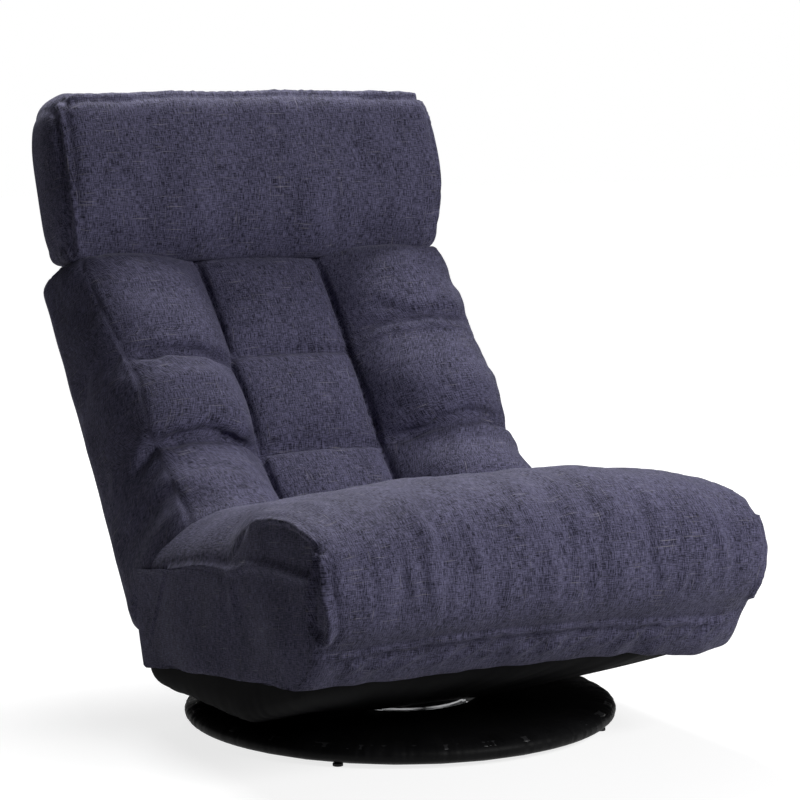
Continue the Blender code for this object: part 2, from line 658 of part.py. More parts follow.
def ratchet_hinge(
    label, side, fixed, moving, fixed_way, moving_way, turned_by, teeth_back, teeth_forward,
):
    """One ratchet hinge: cheeks, toothed leaf, rivet, pawl, pawl pin and spring.

    fixed and moving are the empties on the hinge axis. The two ways are the directions of their
    tubes in their own YZ planes, and turned_by is how far the moving one is turned from the fixed one.
    """
    middle = HINGE_X * (1 if side == "right" else -1)
    inward = -math.copysign(1, middle)
    cheek_x = LEAF_T / 2 + GAP + CHEEK_T / 2
    nose = fixed_way + PAWL_BEARING
    out_y, out_z = math.cos(nose), math.sin(nose)
    pin_out = TOOTH_TIP_R + PAWL_PIN_RISE
    pin = (out_y * pin_out + out_z * PAWL_ARM, out_z * pin_out - out_y * PAWL_ARM)

    tail_y, tail_z = polar(SOCKET_START, fixed_way)
    circles = [
        (0, 0, CHEEK_R), (*pin, PAWL_BOSS_R * PIN_LUG_SHARE), (tail_y, tail_z, SOCKET_R * CHEEK_TAIL_SHARE),
    ]
    plate = hull_of_circles(circles, CHEEK_FACET_COUNT)
    cheeks = merged([prism(plate, CHEEK_T / 2, middle + way * cheek_x) for way in (-1, 1)])
    bracket = place(label + "_bracket_" + side, cheeks, fixed, "painted_steel")
    sleeve, bore = socket(fixed_way, middle)
    cut_or_join(bracket, sleeve, fixed, "UNION")
    reach = cheek_x + CHEEK_T

    def cross_hole(radius, segments, centre=(0, 0)):
        ends = [(middle + way * reach, *centre) for way in (-1, 1)]
        return cylinder(snug(radius, segments), *ends, segments)
    holes = [bore, cross_hole(RIVET_R, PIN_FACET_COUNT), cross_hole(PAWL_PIN_R, HOLE_FACET_COUNT, pin)]
    cut_or_join(bracket, merged(holes), fixed, "DIFFERENCE")

    teeth = toothed_outline(nose - turned_by, teeth_back, teeth_forward)
    leaf = place(label + "_leaf_" + side, prism(teeth, LEAF_T / 2, middle), moving, "zinc_steel")
    neck_y, neck_z = polar(SOCKET_START + CHEEK_T, moving_way)
    circles = [
        (0, 0, TOOTH_ROOT_R * LEAF_NECK_SHARE), (neck_y, neck_z, SOCKET_R * LEAF_NECK_SHARE),
    ]
    neck = prism(hull_of_circles(circles, PIN_FACET_COUNT), LEAF_T / 2, middle)
    sleeve, bore = socket(moving_way, middle)
    cut_or_join(leaf, neck, moving, "UNION")
    cut_or_join(leaf, sleeve, moving, "UNION")
    cut_or_join(leaf, merged([bore, cross_hole(RIVET_R, PIN_FACET_COUNT)]), moving, "DIFFERENCE")

    def headed(name, centre, radius, head_r, head_h, inner_length):
        outer = cheek_x + CHEEK_T / 2 + GAP
        tip = (middle + inward * (outer + inner_length), *centre)
        heel = (middle - inward * outer, *centre)
        node = place(name, cylinder(radius, heel, tip, PIN_FACET_COUNT), fixed, "zinc_steel")
        heads = [
            cylinder(
                head_r, (end - way * GAP / 2, *centre), (end + way * head_h, *centre),
                RIVET_HEAD_FACET_COUNT,
            )
            for end, way in ((tip[0], inward), (heel[0], -inward))
        ]
        cut_or_join(node, merged(heads), fixed, "UNION")

    headed(label + "_rivet_" + side, (0, 0), RIVET_R, RIVET_HEAD_R, RIVET_HEAD_H, 0)
    spring_room = 2 * SPRING_TURN_COUNT * SPRING_PITCH
    headed(label + "_pawl_pin_" + side, pin, PAWL_PIN_R, PAWL_BOSS_R, CHEEK_T / 2, spring_room)

    axis = bpy.data.objects.new(label + "_pawl_axis_" + side, None)
    PARTS.objects.link(axis)
    axis.parent = fixed
    axis.location = (0, *pin)
    axis.rotation_euler = (-PAWL_LIFT, 0, 0)

    def from_pin(out, along):
        return (out_y * out + out_z * along, out_z * out - out_y * along)
    tip_out = TOOTH_ROOT_R + GAP - pin_out
    root_out = TOOTH_TIP_R + GAP - pin_out
    arm_r = PAWL_BOSS_R * PAWL_ARM_SHARE
    circles = [(*from_pin(root_out + arm_r, -PAWL_ARM), arm_r), (0, 0, PAWL_BOSS_R)]
    arm = hull_of_circles(circles, PIN_FACET_COUNT)
    pawl = place(label + "_pawl_" + side, prism(arm, LEAF_T / 2, middle), axis, "zinc_steel")
    tooth = [
        from_pin(tip_out, -PAWL_ARM - NOSE_TIP_W / 2),
        from_pin(root_out + arm_r, -PAWL_ARM - NOSE_ROOT_W / 2),
        from_pin(root_out + arm_r, -PAWL_ARM + NOSE_ROOT_W / 2),
        from_pin(tip_out, -PAWL_ARM + NOSE_TIP_W / 2),
    ]
    cut_or_join(pawl, prism(tooth, LEAF_T / 2, middle), axis, "UNION")
    cut_or_join(pawl, cross_hole(PAWL_PIN_R, HOLE_FACET_COUNT), axis, "DIFFERENCE")

    start_x = cheek_x + CHEEK_T / 2 + GAP + SPRING_WIRE_R
    coil = []
    count = SPRING_STEP_COUNT
    for i in range(SPRING_TURN_COUNT * count + 1):
        y, z = polar(SPRING_COIL_R, nose + math.tau * i / count, pin)
        coil.append((middle + inward * (start_x + SPRING_PITCH * i / count), y, z))
    leg = Vector((0, -out_z, out_y)) * SPRING_LEG
    coil = [Vector(coil[0]) - leg] + coil + [Vector(coil[-1]) + leg]
    place(label + "_spring_" + side, tube(coil, SPRING_WIRE_R, 1), fixed, "zinc_steel")


def flat_tube(points, radius, depth):
    """A round-edged slot along a flat path in the XY plane, from the path's tube down by the depth."""
    curve = bpy.data.curves.new("slot", "CURVE")
    curve.dimensions = "2D"
    curve.bevel_depth = radius
    curve.bevel_resolution = 2
    curve.extrude = depth / 2
    curve.use_fill_caps = True
    spline = curve.splines.new("POLY")
    spline.points.add(len(points) - 1)
    for knot, point in zip(spline.points, points):
        knot.co = (point[0], point[1], 0.0, 1.0)
    obj = bpy.data.objects.new("slot", curve)
    PARTS.objects.link(obj)
    bpy.context.view_layer.update()
    mesh = bpy.data.meshes.new_from_object(obj.evaluated_get(bpy.context.evaluated_depsgraph_get()))
    bm = bmesh.new()
    bm.from_mesh(mesh)
    bmesh.ops.remove_doubles(bm, verts=bm.verts, dist=RIM_MERGE)
    bmesh.ops.recalc_face_normals(bm, faces=bm.faces)
    bpy.data.objects.remove(obj, do_unlink=True)
    bpy.data.curves.remove(curve)
    bpy.data.meshes.remove(mesh)
    bmesh.ops.translate(bm, verts=bm.verts, vec=(0, 0, -depth / 2))
    return bm


def seat_loop():
    """The path of the seat frame's tube, in the seat's plane."""
    corners = [
        (-HINGE_X, -FRAME_START, 0), (-HINGE_X, -SEAT_FRAME_DEPTH, 0),
        (HINGE_X, -SEAT_FRAME_DEPTH, 0), (HINGE_X, -FRAME_START, 0),
    ]
    return bent_path(corners, SEAT_BEND_R)


def head_loop():
    """The path of the head frame's tube, in the head's plane."""
    corners = [
        (-HINGE_X, 0, FRAME_START), (-HINGE_X, 0, HEAD_FRAME_RISE),
        (HINGE_X, 0, HEAD_FRAME_RISE), (HINGE_X, 0, FRAME_START),
    ]
    return bent_path(corners, HEAD_BEND_R)


def build_frames(seat, back, head):
    """The three steel frames that the hinges join."""
    place("seat_frame", tube(seat_loop(), TUBE_R, 4), seat, "painted_steel")
    place("head_frame", tube(head_loop(), TUBE_R, 4), head, "painted_steel")
    top = NECK_RISE - FRAME_START
    sides = [
        cylinder(TUBE_R, (x, 0, FRAME_START), (x, 0, top), PIN_FACET_COUNT) for x in (-HINGE_X, HINGE_X)
    ]
    frame = place("back_frame", merged(sides), back, "painted_steel")
    rungs = [
        cylinder(CROSS_R, (-HINGE_X, 0, z), (HINGE_X, 0, z), HOLE_FACET_COUNT) for z in CROSS_HEIGHTS
    ]
    cut_or_join(frame, merged(rungs), back, "UNION")


def hinge_pocket(datum, low, high):
    """Cutters for both sides of a hinge: a box across the hinge's width, in one datum's YZ plane."""
    half = SOCKET_R + SLOT_CLEAR
    return [
        box((x - half, low[0], low[1]), (x + half, high[0], high[1])) for x in (-HINGE_X, HINGE_X)
    ]


def seat_top(x, height, kept):
    """Height of the seat's top at one X, falling from the middle's height to the side panel's seam.

    kept is the share of the height over that seam that the side still has: the front roll is as thick
    at its ends as in the middle.
    """
    share = min(abs(x) / SEAT_HALF_W, 1.0)
    side = SEAT_SIDE_TOP + (height - SEAT_SIDE_TOP) * kept
    return side + (height - side) * math.sqrt(1 - share ** CROWN_POWER)


def seat_stations():
    return both_sides([share * SEAT_HALF_W for share in SEAT_STATION_SHARES] + [SEAT_SIDE_W])


def seat_outline(x, start, run, tops, lows):
    """One ring of a seat pad: over the crown from start, round the far end and back underneath."""
    ring = [(start + run * y, seat_top(x, SEAT_CROWN * z, kept)) for y, z, kept in tops]
    ring += [(start + run * y, -SEAT_BOTTOM * z) for y, z in lows]
    return draw_in(ring, LENGTH_DRAW_SHARE, END_DRAW_SHARE) if abs(x) > SEAT_HALF_W + GAP else ring


def build_seat_foam(seat, seat_turn):
    """The seat's two foam blocks, slotted from below for the frame and the carrier bars."""
    depth = SEAT_BOTTOM + OVERRUN
    last = len(SEAT_FRONT_TOP_SHARES) + len(SEAT_FRONT_LOW_SHARES) - 1
    front = place(
        "seat_cushion",
        loft(seat_stations(), lambda x: seat_outline(
            x, -SEAT_SPLIT, -(SEAT_NOSE - SEAT_SPLIT), SEAT_FRONT_TOP_SHARES, SEAT_FRONT_LOW_SHARES),
            (0, last)),
        seat, "linen", math.pi,
    )
    soften(front)
    cut_or_join(front, flat_tube(seat_loop(), SLOT_R, depth), seat, "DIFFERENCE")

    start = -SEAT_SPLIT + GAP
    last = len(SEAT_REAR_TOP_SHARES) + len(SEAT_REAR_LOW_SHARES) - 1
    rear = place(
        "seat_rear_cushion",
        loft(seat_stations(), lambda x: seat_outline(
            x, start, -SEAT_REAR_END - start, SEAT_REAR_TOP_SHARES, SEAT_REAR_LOW_SHARES), (0, last)),
        seat, "linen", math.pi,
    )
    soften(rear)
    cut_or_join(rear, flat_tube(seat_loop(), SLOT_R, depth), seat, "DIFFERENCE")
    pockets = hinge_pocket(seat, (-SOCKET_END - GAP, -depth), (OVERRUN, CHEEK_R + GAP))
    cut_or_join(rear, merged(pockets), seat, "DIFFERENCE")
    half = CARRIER_R + SLOT_CLEAR
    slots = [
        box((low, y - half, 0), (high, y + half, seat_tube_z(y)))
        for y in (-CARRIER_SPACING / 2, CARRIER_SPACING / 2)
        for low, high in ((-HINGE_X - half, -CARRIER_FLAT_HALF), (CARRIER_FLAT_HALF, HINGE_X + half))
    ]
    cut_or_join(rear, merged(slots), seat_turn, "DIFFERENCE")


def between(low, high, z):
    """A size of the padded front that changes evenly from its lowest fold to its highest."""
    return low + (high - low) * (z - TUFT_LOW) / (ROW_TOP - TUFT_LOW)


def row_puff(z):
    """How full a row of tufts is at one height: 0 in its folds, 1 in its middle."""
    row = 0 if z <= TUFT_HIGH else 1
    start, end = FRONT_ROWS[row], FRONT_ROWS[row + 1]
    share = min(max((z - start) / (end - start), 0.0), 1.0)
    return 1 - abs(2 * share - 1) ** PUFF_POWER


def back_depth(x, z):
    """How far the padded front stands out from the back's frame plane at one X and height."""
    across = abs(x)
    groove = between(GROOVE_LOW, GROOVE_HIGH, z)
    puff = row_puff(z)
    if across < GROOVE_X:
        crown = math.sqrt(1 - (across / GROOVE_X) ** 2)
        return groove + CENTRE_CROWN * crown * (CENTRE_FOLD_SHARE + (1 - CENTRE_FOLD_SHARE) * puff)
    v = min((across - GROOVE_X) / (BACK_HALF_W - GROOVE_X), 1.0)
    seam = between(SEAM_LOW, SEAM_HIGH, z)
    crest = seam + BOLSTER_RISE - BOLSTER_SINK * (1 - puff)
    if v < CREST_SHARE:
        return groove + (crest - groove) * math.sqrt(1 - (1 - v / CREST_SHARE) ** 2)
    return crest + (seam - crest) * ((v - CREST_SHARE) / (1 - CREST_SHARE)) ** 2


def back_outline(x):
    """One ring of the upper back pad: up the front rows, over the top and down the flat rear."""
    heights = []
    for start, end in zip(FRONT_ROWS, FRONT_ROWS[1:]):
        heights += [start + (end - start) * share for share in ROW_STEP_SHARES]
    ring = [(-back_depth(x, z), z + (GAP if z == TUFT_LOW else 0)) for z in heights]
    lean = math.tan(FOLD_ANGLE)
    ring = [(y, min(z, NECK_RISE - NECK_CLEAR + y * lean)) for y, z in ring]
    top = -back_depth(x, ROW_TOP) * BACK_TOP_SHARE
    ring += [(top, NECK_RISE - NECK_CLEAR + top * lean), (BACK_FOAM_REAR, ROW_TOP)]
    ring += [(BACK_FOAM_REAR, (ROW_TOP + TUFT_LOW) / 2), (BACK_FOAM_REAR, TUFT_LOW + GAP)]
    return draw_in(ring, END_DRAW_SHARE, LENGTH_DRAW_SHARE) if abs(x) > BACK_HALF_W + GAP else ring


def seat_plane_point(forward, up):
    """A point given along and above the seat's plane, in the back's own coordinates at rest."""
    turn = BACK_TILT - SEAT_TILT
    y, z = -forward, up
    return (y * math.cos(turn) - z * math.sin(turn), y * math.sin(turn) + z * math.cos(turn))


def lumbar_outline(x):
    """One ring of the lumbar pad, the wedge between the seat's rear and the lowest tuft line."""
    depth = back_depth(x, TUFT_LOW)
    crease = SEAT_CROWN * SEAT_REAR_TOP_SHARES[-2][1] + LUMBAR_CLEAR
    forward = max(depth - crease * math.sin(BACK_TILT - SEAT_TILT), 0.0)
    heel = seat_plane_point(forward, crease)
    knee = seat_plane_point(min(LUMBAR_KNEE, forward / 2), crease)
    low = seat_plane_point(-LUMBAR_CLEAR, crease / 2)
    middle = seat_plane_point(-LUMBAR_CLEAR, 0)
    foot = seat_plane_point(-LUMBAR_CLEAR, -BACK_FOOT)
    top = TUFT_LOW - GAP
    ring = [
        (-depth, top), (-depth, (top + heel[1]) / 2), heel, knee, low, middle, foot,
        (BACK_FOAM_REAR, foot[1]), (BACK_FOAM_REAR, top / 2), (BACK_FOAM_REAR, top),
    ]
    return draw_in(ring, END_DRAW_SHARE, LENGTH_DRAW_SHARE) if abs(x) > BACK_HALF_W + GAP else ring


def rear_pad(name, datum, half_w, near, far, low, high):
    """A plain rounded pad that closes a frame from behind."""
    depth = far - near
    edge = near + depth * PAD_EDGE_SHARE
    step, slope = (depth * share for share in PAD_SLOPE_SHARES)
    ring = [
        (near, low), (edge, low + step), (far, low + slope), (far, (low + high) / 2),
        (far, high - slope), (edge, high - step), (near, high), (near, (low + high) / 2),
    ]
    end = half_w + depth * PAD_END_SHARE
    stations = both_sides([share * half_w for share in PAD_STATION_SHARES] + [end])
    ends = [(near + (y - near) * PAD_EDGE_SHARE, z) for y, z in ring]
    body = loft(stations, lambda x: ends if abs(x) > half_w else ring, (0, 6))
    pad = place(name, body, datum, "linen", math.pi)
    soften(pad)
    return pad


def head_outline(x):
    """One ring of the head pad: up its front, over the top and down the flat rear."""
    ring = [(HEAD_FRONT * y, HEAD_TOP * z) for y, z in HEAD_OUTLINE_SHARES]
    foot = HEAD_TOP * HEAD_FOOT_SHARE
    high = HEAD_TOP * HEAD_REAR_TOP_SHARE
    ring += [(HEAD_FOAM_REAR, high), (HEAD_FOAM_REAR, HEAD_TOP / 2), (HEAD_FOAM_REAR, foot), (0, foot)]
    return draw_in(ring, END_DRAW_SHARE, LENGTH_DRAW_SHARE) if abs(x) > HEAD_HALF_W + GAP else ring


def build_back_foam(back):
    """The tufted back pad, the lumbar pad and the rear cover of the back."""
    stations = both_sides([share * BACK_HALF_W for share in BACK_STATION_SHARES] + [BACK_SIDE_W])
    depth = BACK_FOAM_REAR + OVERRUN
    for name, outline, sharp, folds in (
        ("back_cushion", back_outline, (0, 11), (4,)), ("lumbar_cushion", lumbar_outline, (0, 9), ()),
    ):
        body = loft(stations, outline, sharp, folds, GROOVE_X)
        pad = place(name, body, back, "linen", math.pi)
        soften(pad)
        slots = [
            box((x - SLOT_R, -SLOT_R, FRAME_START), (x + SLOT_R, depth, NECK_RISE - FRAME_START))
            for x in (-HINGE_X, HINGE_X)
        ]
        half = CROSS_R + SLOT_CLEAR
        rungs = [box((-HINGE_X, -half, z - half), (HINGE_X, depth, z + half)) for z in CROSS_HEIGHTS]
        cut_or_join(pad, merged(slots), back, "DIFFERENCE")
        cut_or_join(pad, merged(rungs), back, "DIFFERENCE")
        room = PAWL_ARM + PAWL_PIN_RISE + TOOTH_TIP_R
        low = hinge_pocket(back, (-room, -room - OVERRUN), (depth, SOCKET_END + GAP))
        high = hinge_pocket(back, (-room, NECK_RISE - SOCKET_END - GAP), (depth, NECK_RISE + OVERRUN))
        cut_or_join(pad, merged(low + high), back, "DIFFERENCE")
    cover = rear_pad(
        "back_rear_cover", back, BACK_HALF_W, BACK_FOAM_REAR + GAP, BACK_REAR,
        -BACK_FOOT, NECK_RISE + BACK_COVER_RISE,
    )
    pin_y = TOOTH_TIP_R + PAWL_PIN_RISE + PAWL_ARM * math.sin(PAWL_BEARING - math.pi / 2)
    reach = pin_y + PAWL_BOSS_R * PIN_LUG_SHARE + SLOT_CLEAR
    room = hinge_pocket(back, (0, NECK_RISE - SOCKET_START), (reach, NECK_RISE + OVERRUN))
    half = SOCKET_R + SLOT_CLEAR
    pin_reach = math.hypot(TOOTH_TIP_R + PAWL_PIN_RISE, PAWL_ARM)
    sweep = pin_reach + SPRING_LEG + SPRING_WIRE_R * 2 + SLOT_CLEAR
    room += [
        cylinder(sweep, (x - half, 0, 0), (x + half, 0, 0), RING_FACET_COUNT) for x in (-HINGE_X, HINGE_X)
    ]
    cut_or_join(cover, merged(room), back, "DIFFERENCE")


def build_head_foam(head):
    """The head pad and the rear cover of the head."""
    stations = both_sides([share * HEAD_HALF_W for share in PAD_STATION_SHARES] + [HEAD_SIDE_W])
    pad = place("head_cushion", loft(stations, head_outline, ()), head, "linen", math.pi)
    soften(pad)
    depth = HEAD_FOAM_REAR + OVERRUN
    slot = flat_tube([(x, z) for x, y, z in head_loop()], SLOT_R, depth)
    bmesh.ops.rotate(slot, verts=slot.verts, cent=(0, 0, 0), matrix=Matrix.Rotation(math.pi / 2, 3, "X"))
    cut_or_join(pad, slot, head, "DIFFERENCE")
    room = CHEEK_R + SLOT_CLEAR
    pockets = hinge_pocket(head, (-room, -OVERRUN), (depth, SOCKET_END + GAP))
    cut_or_join(pad, merged(pockets), head, "DIFFERENCE")
    cover = rear_pad(
        "head_rear_cover", head, HEAD_HALF_W, HEAD_FOAM_REAR + GAP, HEAD_REAR,
        HEAD_COVER_FOOT, HEAD_TOP * HEAD_COVER_TOP_SHARE,
    )
    disc = hinge_pocket(head, (0, -OVERRUN), (CHEEK_R + SLOT_CLEAR, CHEEK_R + SLOT_CLEAR))
    cut_or_join(cover, merged(disc), head, "DIFFERENCE")


def build_dust_cover(seat, seat_turn):
    """The black cloth bowl under the seat, with a hole for the turntable and its carrier bars."""
    half_depth = (DUST_FRONT - DUST_RIM_INSET * 2) / 2
    middle = SEAT_REAR_END + DUST_RIM_INSET + half_depth
    half_x = SEAT_HALF_W - DUST_RIM_INSET
    plane = RECLINE_Z - (SEAT_BOTTOM + GAP + DUST_T / 2) / math.cos(SEAT_TILT)
    bm = bmesh.new()
    rings = []
    for inward, drop in DUST_DROP_SHARES:
        ring = []
        for i in range(DUST_FACET_COUNT):
            angle = math.tau * i / DUST_FACET_COUNT
            c, s = math.cos(angle), math.sin(angle)
            swell = (abs(c) ** DUST_POWER + abs(s) ** DUST_POWER) ** (-1 / DUST_POWER)
            rim = Vector((half_x * c * swell, RECLINE_Y - middle + half_depth * s * swell))
            hole = Vector((DUST_HOLE_HALF_X * c * swell, DUST_HOLE_HALF_Y * s * swell))
            x, y = rim.lerp(hole, inward)
            z = plane + (RECLINE_Y - y) * math.tan(SEAT_TILT)
            ring.append(bm.verts.new((x, y, z + (DUST_BOTTOM_Z - z) * drop)))
        rings.append(ring)
    for near, far in zip(rings, rings[1:]):
        for i in range(DUST_FACET_COUNT):
            j = (i + 1) % DUST_FACET_COUNT
            bm.faces.new((near[i], near[j], far[j], far[i]))
    cover = place("seat_dust_cover", bm, seat_turn, "black_cloth", math.pi)
    wall = cover.modifiers.new("cloth", "SOLIDIFY")
    wall.thickness = DUST_T
    wall.offset = 0


def build_chair():
    """Make the axes and every sub-assembly."""
    clear_scene()
    base = axis_empty("base_datum", (0, SWIVEL_Y, 0), 0)
    cage_axis = axis_empty("cage_axis", (0, 0, 0), 0, base)
    seat_turn = axis_empty("swivel_axis", (0, 0, 0), 0, base)
    seat = axis_empty("seat_datum", (0, RECLINE_Y, RECLINE_Z), SEAT_TILT, seat_turn)
    back = axis_empty("recline_axis", (0, 0, 0), BACK_TILT - SEAT_TILT, seat)
    neck = axis_empty("neck_datum", (0, 0, NECK_RISE), 0, back)
    head = axis_empty("neck_axis", (0, 0, 0), HEAD_TILT - BACK_TILT, neck)
    build_base(base)
    build_turntable(base, cage_axis, seat_turn)
    build_carriers(seat_turn)
    build_frames(seat, back, head)
    for side in ("left", "right"):
        ratchet_hinge(
            "recline", side, seat, back, math.pi, math.pi / 2, SEAT_TILT - BACK_TILT,
            RECLINE_TOOTH_COUNT, RECLINE_TOOTH_COUNT,
        )
        ratchet_hinge(
            "head", side, neck, head, -math.pi / 2, math.pi / 2, BACK_TILT - HEAD_TILT,
            HEAD_BACK_TOOTH_COUNT, HEAD_FORWARD_TOOTH_COUNT,
        )
    build_seat_foam(seat, seat_turn)
    build_back_foam(back)
    build_head_foam(head)
    build_dust_cover(seat, seat_turn)


build_chair()
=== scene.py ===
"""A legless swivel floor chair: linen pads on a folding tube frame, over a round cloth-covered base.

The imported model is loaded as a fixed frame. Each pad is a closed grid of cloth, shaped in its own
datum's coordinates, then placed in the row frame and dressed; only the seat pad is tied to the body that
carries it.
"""

from __future__ import annotations

import json
import logging
import math
from dataclasses import dataclass
from enum import Enum
from typing import Sequence, Union

import bpy
import numpy as np
from mathutils import Euler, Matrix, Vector, noise

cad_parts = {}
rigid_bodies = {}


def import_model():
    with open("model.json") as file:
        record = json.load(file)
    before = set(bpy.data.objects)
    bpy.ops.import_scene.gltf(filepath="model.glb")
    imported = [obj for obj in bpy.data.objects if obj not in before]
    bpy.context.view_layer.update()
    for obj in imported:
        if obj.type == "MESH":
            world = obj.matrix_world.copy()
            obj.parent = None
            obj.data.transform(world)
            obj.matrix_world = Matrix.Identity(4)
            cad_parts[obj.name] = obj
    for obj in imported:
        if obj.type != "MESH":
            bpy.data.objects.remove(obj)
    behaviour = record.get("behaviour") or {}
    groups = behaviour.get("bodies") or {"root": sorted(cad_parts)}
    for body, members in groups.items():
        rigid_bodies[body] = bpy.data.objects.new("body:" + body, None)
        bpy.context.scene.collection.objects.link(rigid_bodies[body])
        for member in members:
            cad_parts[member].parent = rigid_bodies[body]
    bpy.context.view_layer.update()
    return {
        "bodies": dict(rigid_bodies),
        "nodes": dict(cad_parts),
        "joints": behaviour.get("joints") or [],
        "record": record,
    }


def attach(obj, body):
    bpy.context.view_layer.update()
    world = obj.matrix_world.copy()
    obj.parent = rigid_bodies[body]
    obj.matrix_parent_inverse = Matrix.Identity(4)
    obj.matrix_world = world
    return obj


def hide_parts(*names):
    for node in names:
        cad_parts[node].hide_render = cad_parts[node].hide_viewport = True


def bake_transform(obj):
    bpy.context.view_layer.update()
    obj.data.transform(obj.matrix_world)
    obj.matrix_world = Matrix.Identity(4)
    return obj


log = logging.getLogger("floor_chair")

Number = Union[float, int]
Colour = tuple[float, float, float]
Grid = np.ndarray

# Where the chair's hinges stand in the row frame, and how far each part leans back at rest.
RECLINE_AXIS = (0.0, 0.0775, 0.135)
NECK_AXIS = (0.0, 0.35217, 0.52008)
SWIVEL_AXIS = (0.0, -0.0745)
SEAT_LEAN = math.radians(9.0)
BACK_LEAN = math.radians(35.5)
HEAD_LEAN = math.radians(17.5)

# How finely a fold's line is laid on a pad, how far from it vertices are looked at, and how many at once.
LINE_STEP = 0.003
FOLD_REACH = 0.06
CHUNK = 4000

# How far smoothing takes a vertex to the middle of its neighbours.
RELAX_SHARE = 0.5

# How near two vertices of a sheet are when they count as one.
SAME_PLACE = 0.00002


class Slot(str, Enum):
    """The record's material slots."""

    LINEN = "linen"
    BLACK_CLOTH = "black_cloth"
    FRAME_TUBE = "frame_tube"
    PAINTED = "painted_steel"
    ZINC = "zinc_steel"
    BALLS = "steel_balls"
    RUBBER = "rubber"


# Shader maths


class Shade:
    """A socket that Python's operators work on, for shader maths on values."""

    def __init__(self, material: "NodeMaterial", socket: bpy.types.NodeSocket) -> None:
        """Keeps the socket and the material that new nodes go to.

        Args:
            material: The material whose tree the socket is in.
            socket: The output socket that this value stands for.
        """
        self.material = material
        self.socket = socket

    def _maths(self, operation: str, *values: Union["Shade", Number]) -> "Shade":
        """Adds one Math node.

        Args:
            operation: The node's operation.
            values: The inputs, sockets or plain numbers.

        Returns:
            The node's result.
        """
        settings = {"operation": operation}
        return self.material.node("ShaderNodeMath", settings, dict(enumerate(values)))

    def __add__(self, other: Union["Shade", Number]) -> "Shade":
        """The sum."""
        return self._maths("ADD", self, other)

    __radd__ = __add__

    def __mul__(self, other: Union["Shade", Number]) -> "Shade":
        """The product."""
        return self._maths("MULTIPLY", self, other)

    __rmul__ = __mul__

    def __sub__(self, other: Union["Shade", Number]) -> "Shade":
        """The difference."""
        return self._maths("SUBTRACT", self, other)

    def __rsub__(self, other: Union["Shade", Number]) -> "Shade":
        """The difference, from the other value."""
        return self._maths("SUBTRACT", other, self)

    def clipped(self) -> "Shade":
        """The value held between 0 and 1."""
        return self._maths("MINIMUM", self._maths("MAXIMUM", self, 0.0), 1.0)

    def over(self, low: float, high: float) -> "Shade":
        """How far the value has come from low to high, held between 0 and 1.

        Args:
            low: The value that gives 0.
            high: The value that gives 1.

        Returns:
            The share.
        """
        return ((self - low) * (1.0 / (high - low))).clipped()


class NodeMaterial:
    """A node material under construction."""

    def __init__(self, name: str) -> None:
        """Makes the material with a Principled shader.

        Args:
            name: The material's name.
        """
        self.material = bpy.data.materials.new(name)
        self.material.use_nodes = True
        self.tree = self.material.node_tree
        self.shader = next(n for n in self.tree.nodes if n.type == "BSDF_PRINCIPLED")

    def node(self, kind: str, settings: dict, values: dict, output: Union[int, str] = 0) -> Shade:
        """Adds one node.

        Args:
            kind: The node's type name.
            settings: Properties, set before the values.
            values: Input socket to a value or a Shade.
            output: The output socket to return.

        Returns:
            The chosen output.
        """
        made = self.tree.nodes.new(kind)
        for key, value in settings.items():
            setattr(made, key, value)
        for key, value in values.items():
            self.feed(made.inputs[key], value)
        return Shade(self, made.outputs[output])

    def feed(self, socket: bpy.types.NodeSocket, value: Union[Shade, Number, Sequence[float]]) -> None:
        """Links a Shade to a socket, or sets a plain value on it.

        Args:
            socket: The input socket.
            value: What goes in.
        """
        if isinstance(value, Shade):
            self.tree.links.new(value.socket, socket)
        elif isinstance(socket.default_value, (float, int)):
            socket.default_value = value
        else:
            length = len(socket.default_value)
            socket.default_value = (*value, 1.0)[:length] if len(value) < length else value

    def surface(self, **values: Union[Shade, Number, Sequence[float]]) -> None:
        """Sets the Principled shader's sockets, with _ for a space in their names."""
        for key, value in values.items():
            self.feed(self.shader.inputs[key.replace("_", " ")], value)

    def coordinates(self, uv: bool) -> Shade:
        """The piece's own UV map, in metres of cloth, or its Object coordinates."""
        return self.node("ShaderNodeTexCoord", {}, {}, "UV" if uv else "Object")

    def scaled(self, where: Shade, across: float, along: float) -> Shade:
        """Flat coordinates stretched by a Mapping node.

        Args:
            where: The coordinates.
            across: The factor on the first axis.
            along: The factor on the second axis.

        Returns:
            The stretched coordinates.
        """
        return self.node("ShaderNodeMapping", {}, {"Vector": where, "Scale": (across, along, 1.0)})

    def speckle(self, where: Shade, scale: float, detail: float = 2.0, rough: float = 0.5) -> Shade:
        """Noise between 0 and 1.

        Args:
            where: The coordinates.
            scale: The noise's scale.
            detail: Its octaves.
            rough: How strong the fine octaves are.

        Returns:
            The noise's factor.
        """
        values = {"Vector": where, "Scale": scale, "Detail": detail, "Roughness": rough}
        return self.node("ShaderNodeTexNoise", {}, values)

    def blended(self, factor: Shade, low: Union[Shade, Colour], high: Union[Shade, Colour]) -> Shade:
        """A mix of two colours by a factor."""
        settings = {"data_type": "RGBA", "clamp_factor": True}
        return self.node("ShaderNodeMix", settings, {0: factor, 6: low, 7: high}, 2)

    def bump(self, height: Shade, strength: float, distance: float) -> Shade:
        """A Bump node's normal."""
        values = {"Height": height, "Strength": strength, "Distance": distance}
        return self.node("ShaderNodeBump", {}, values)


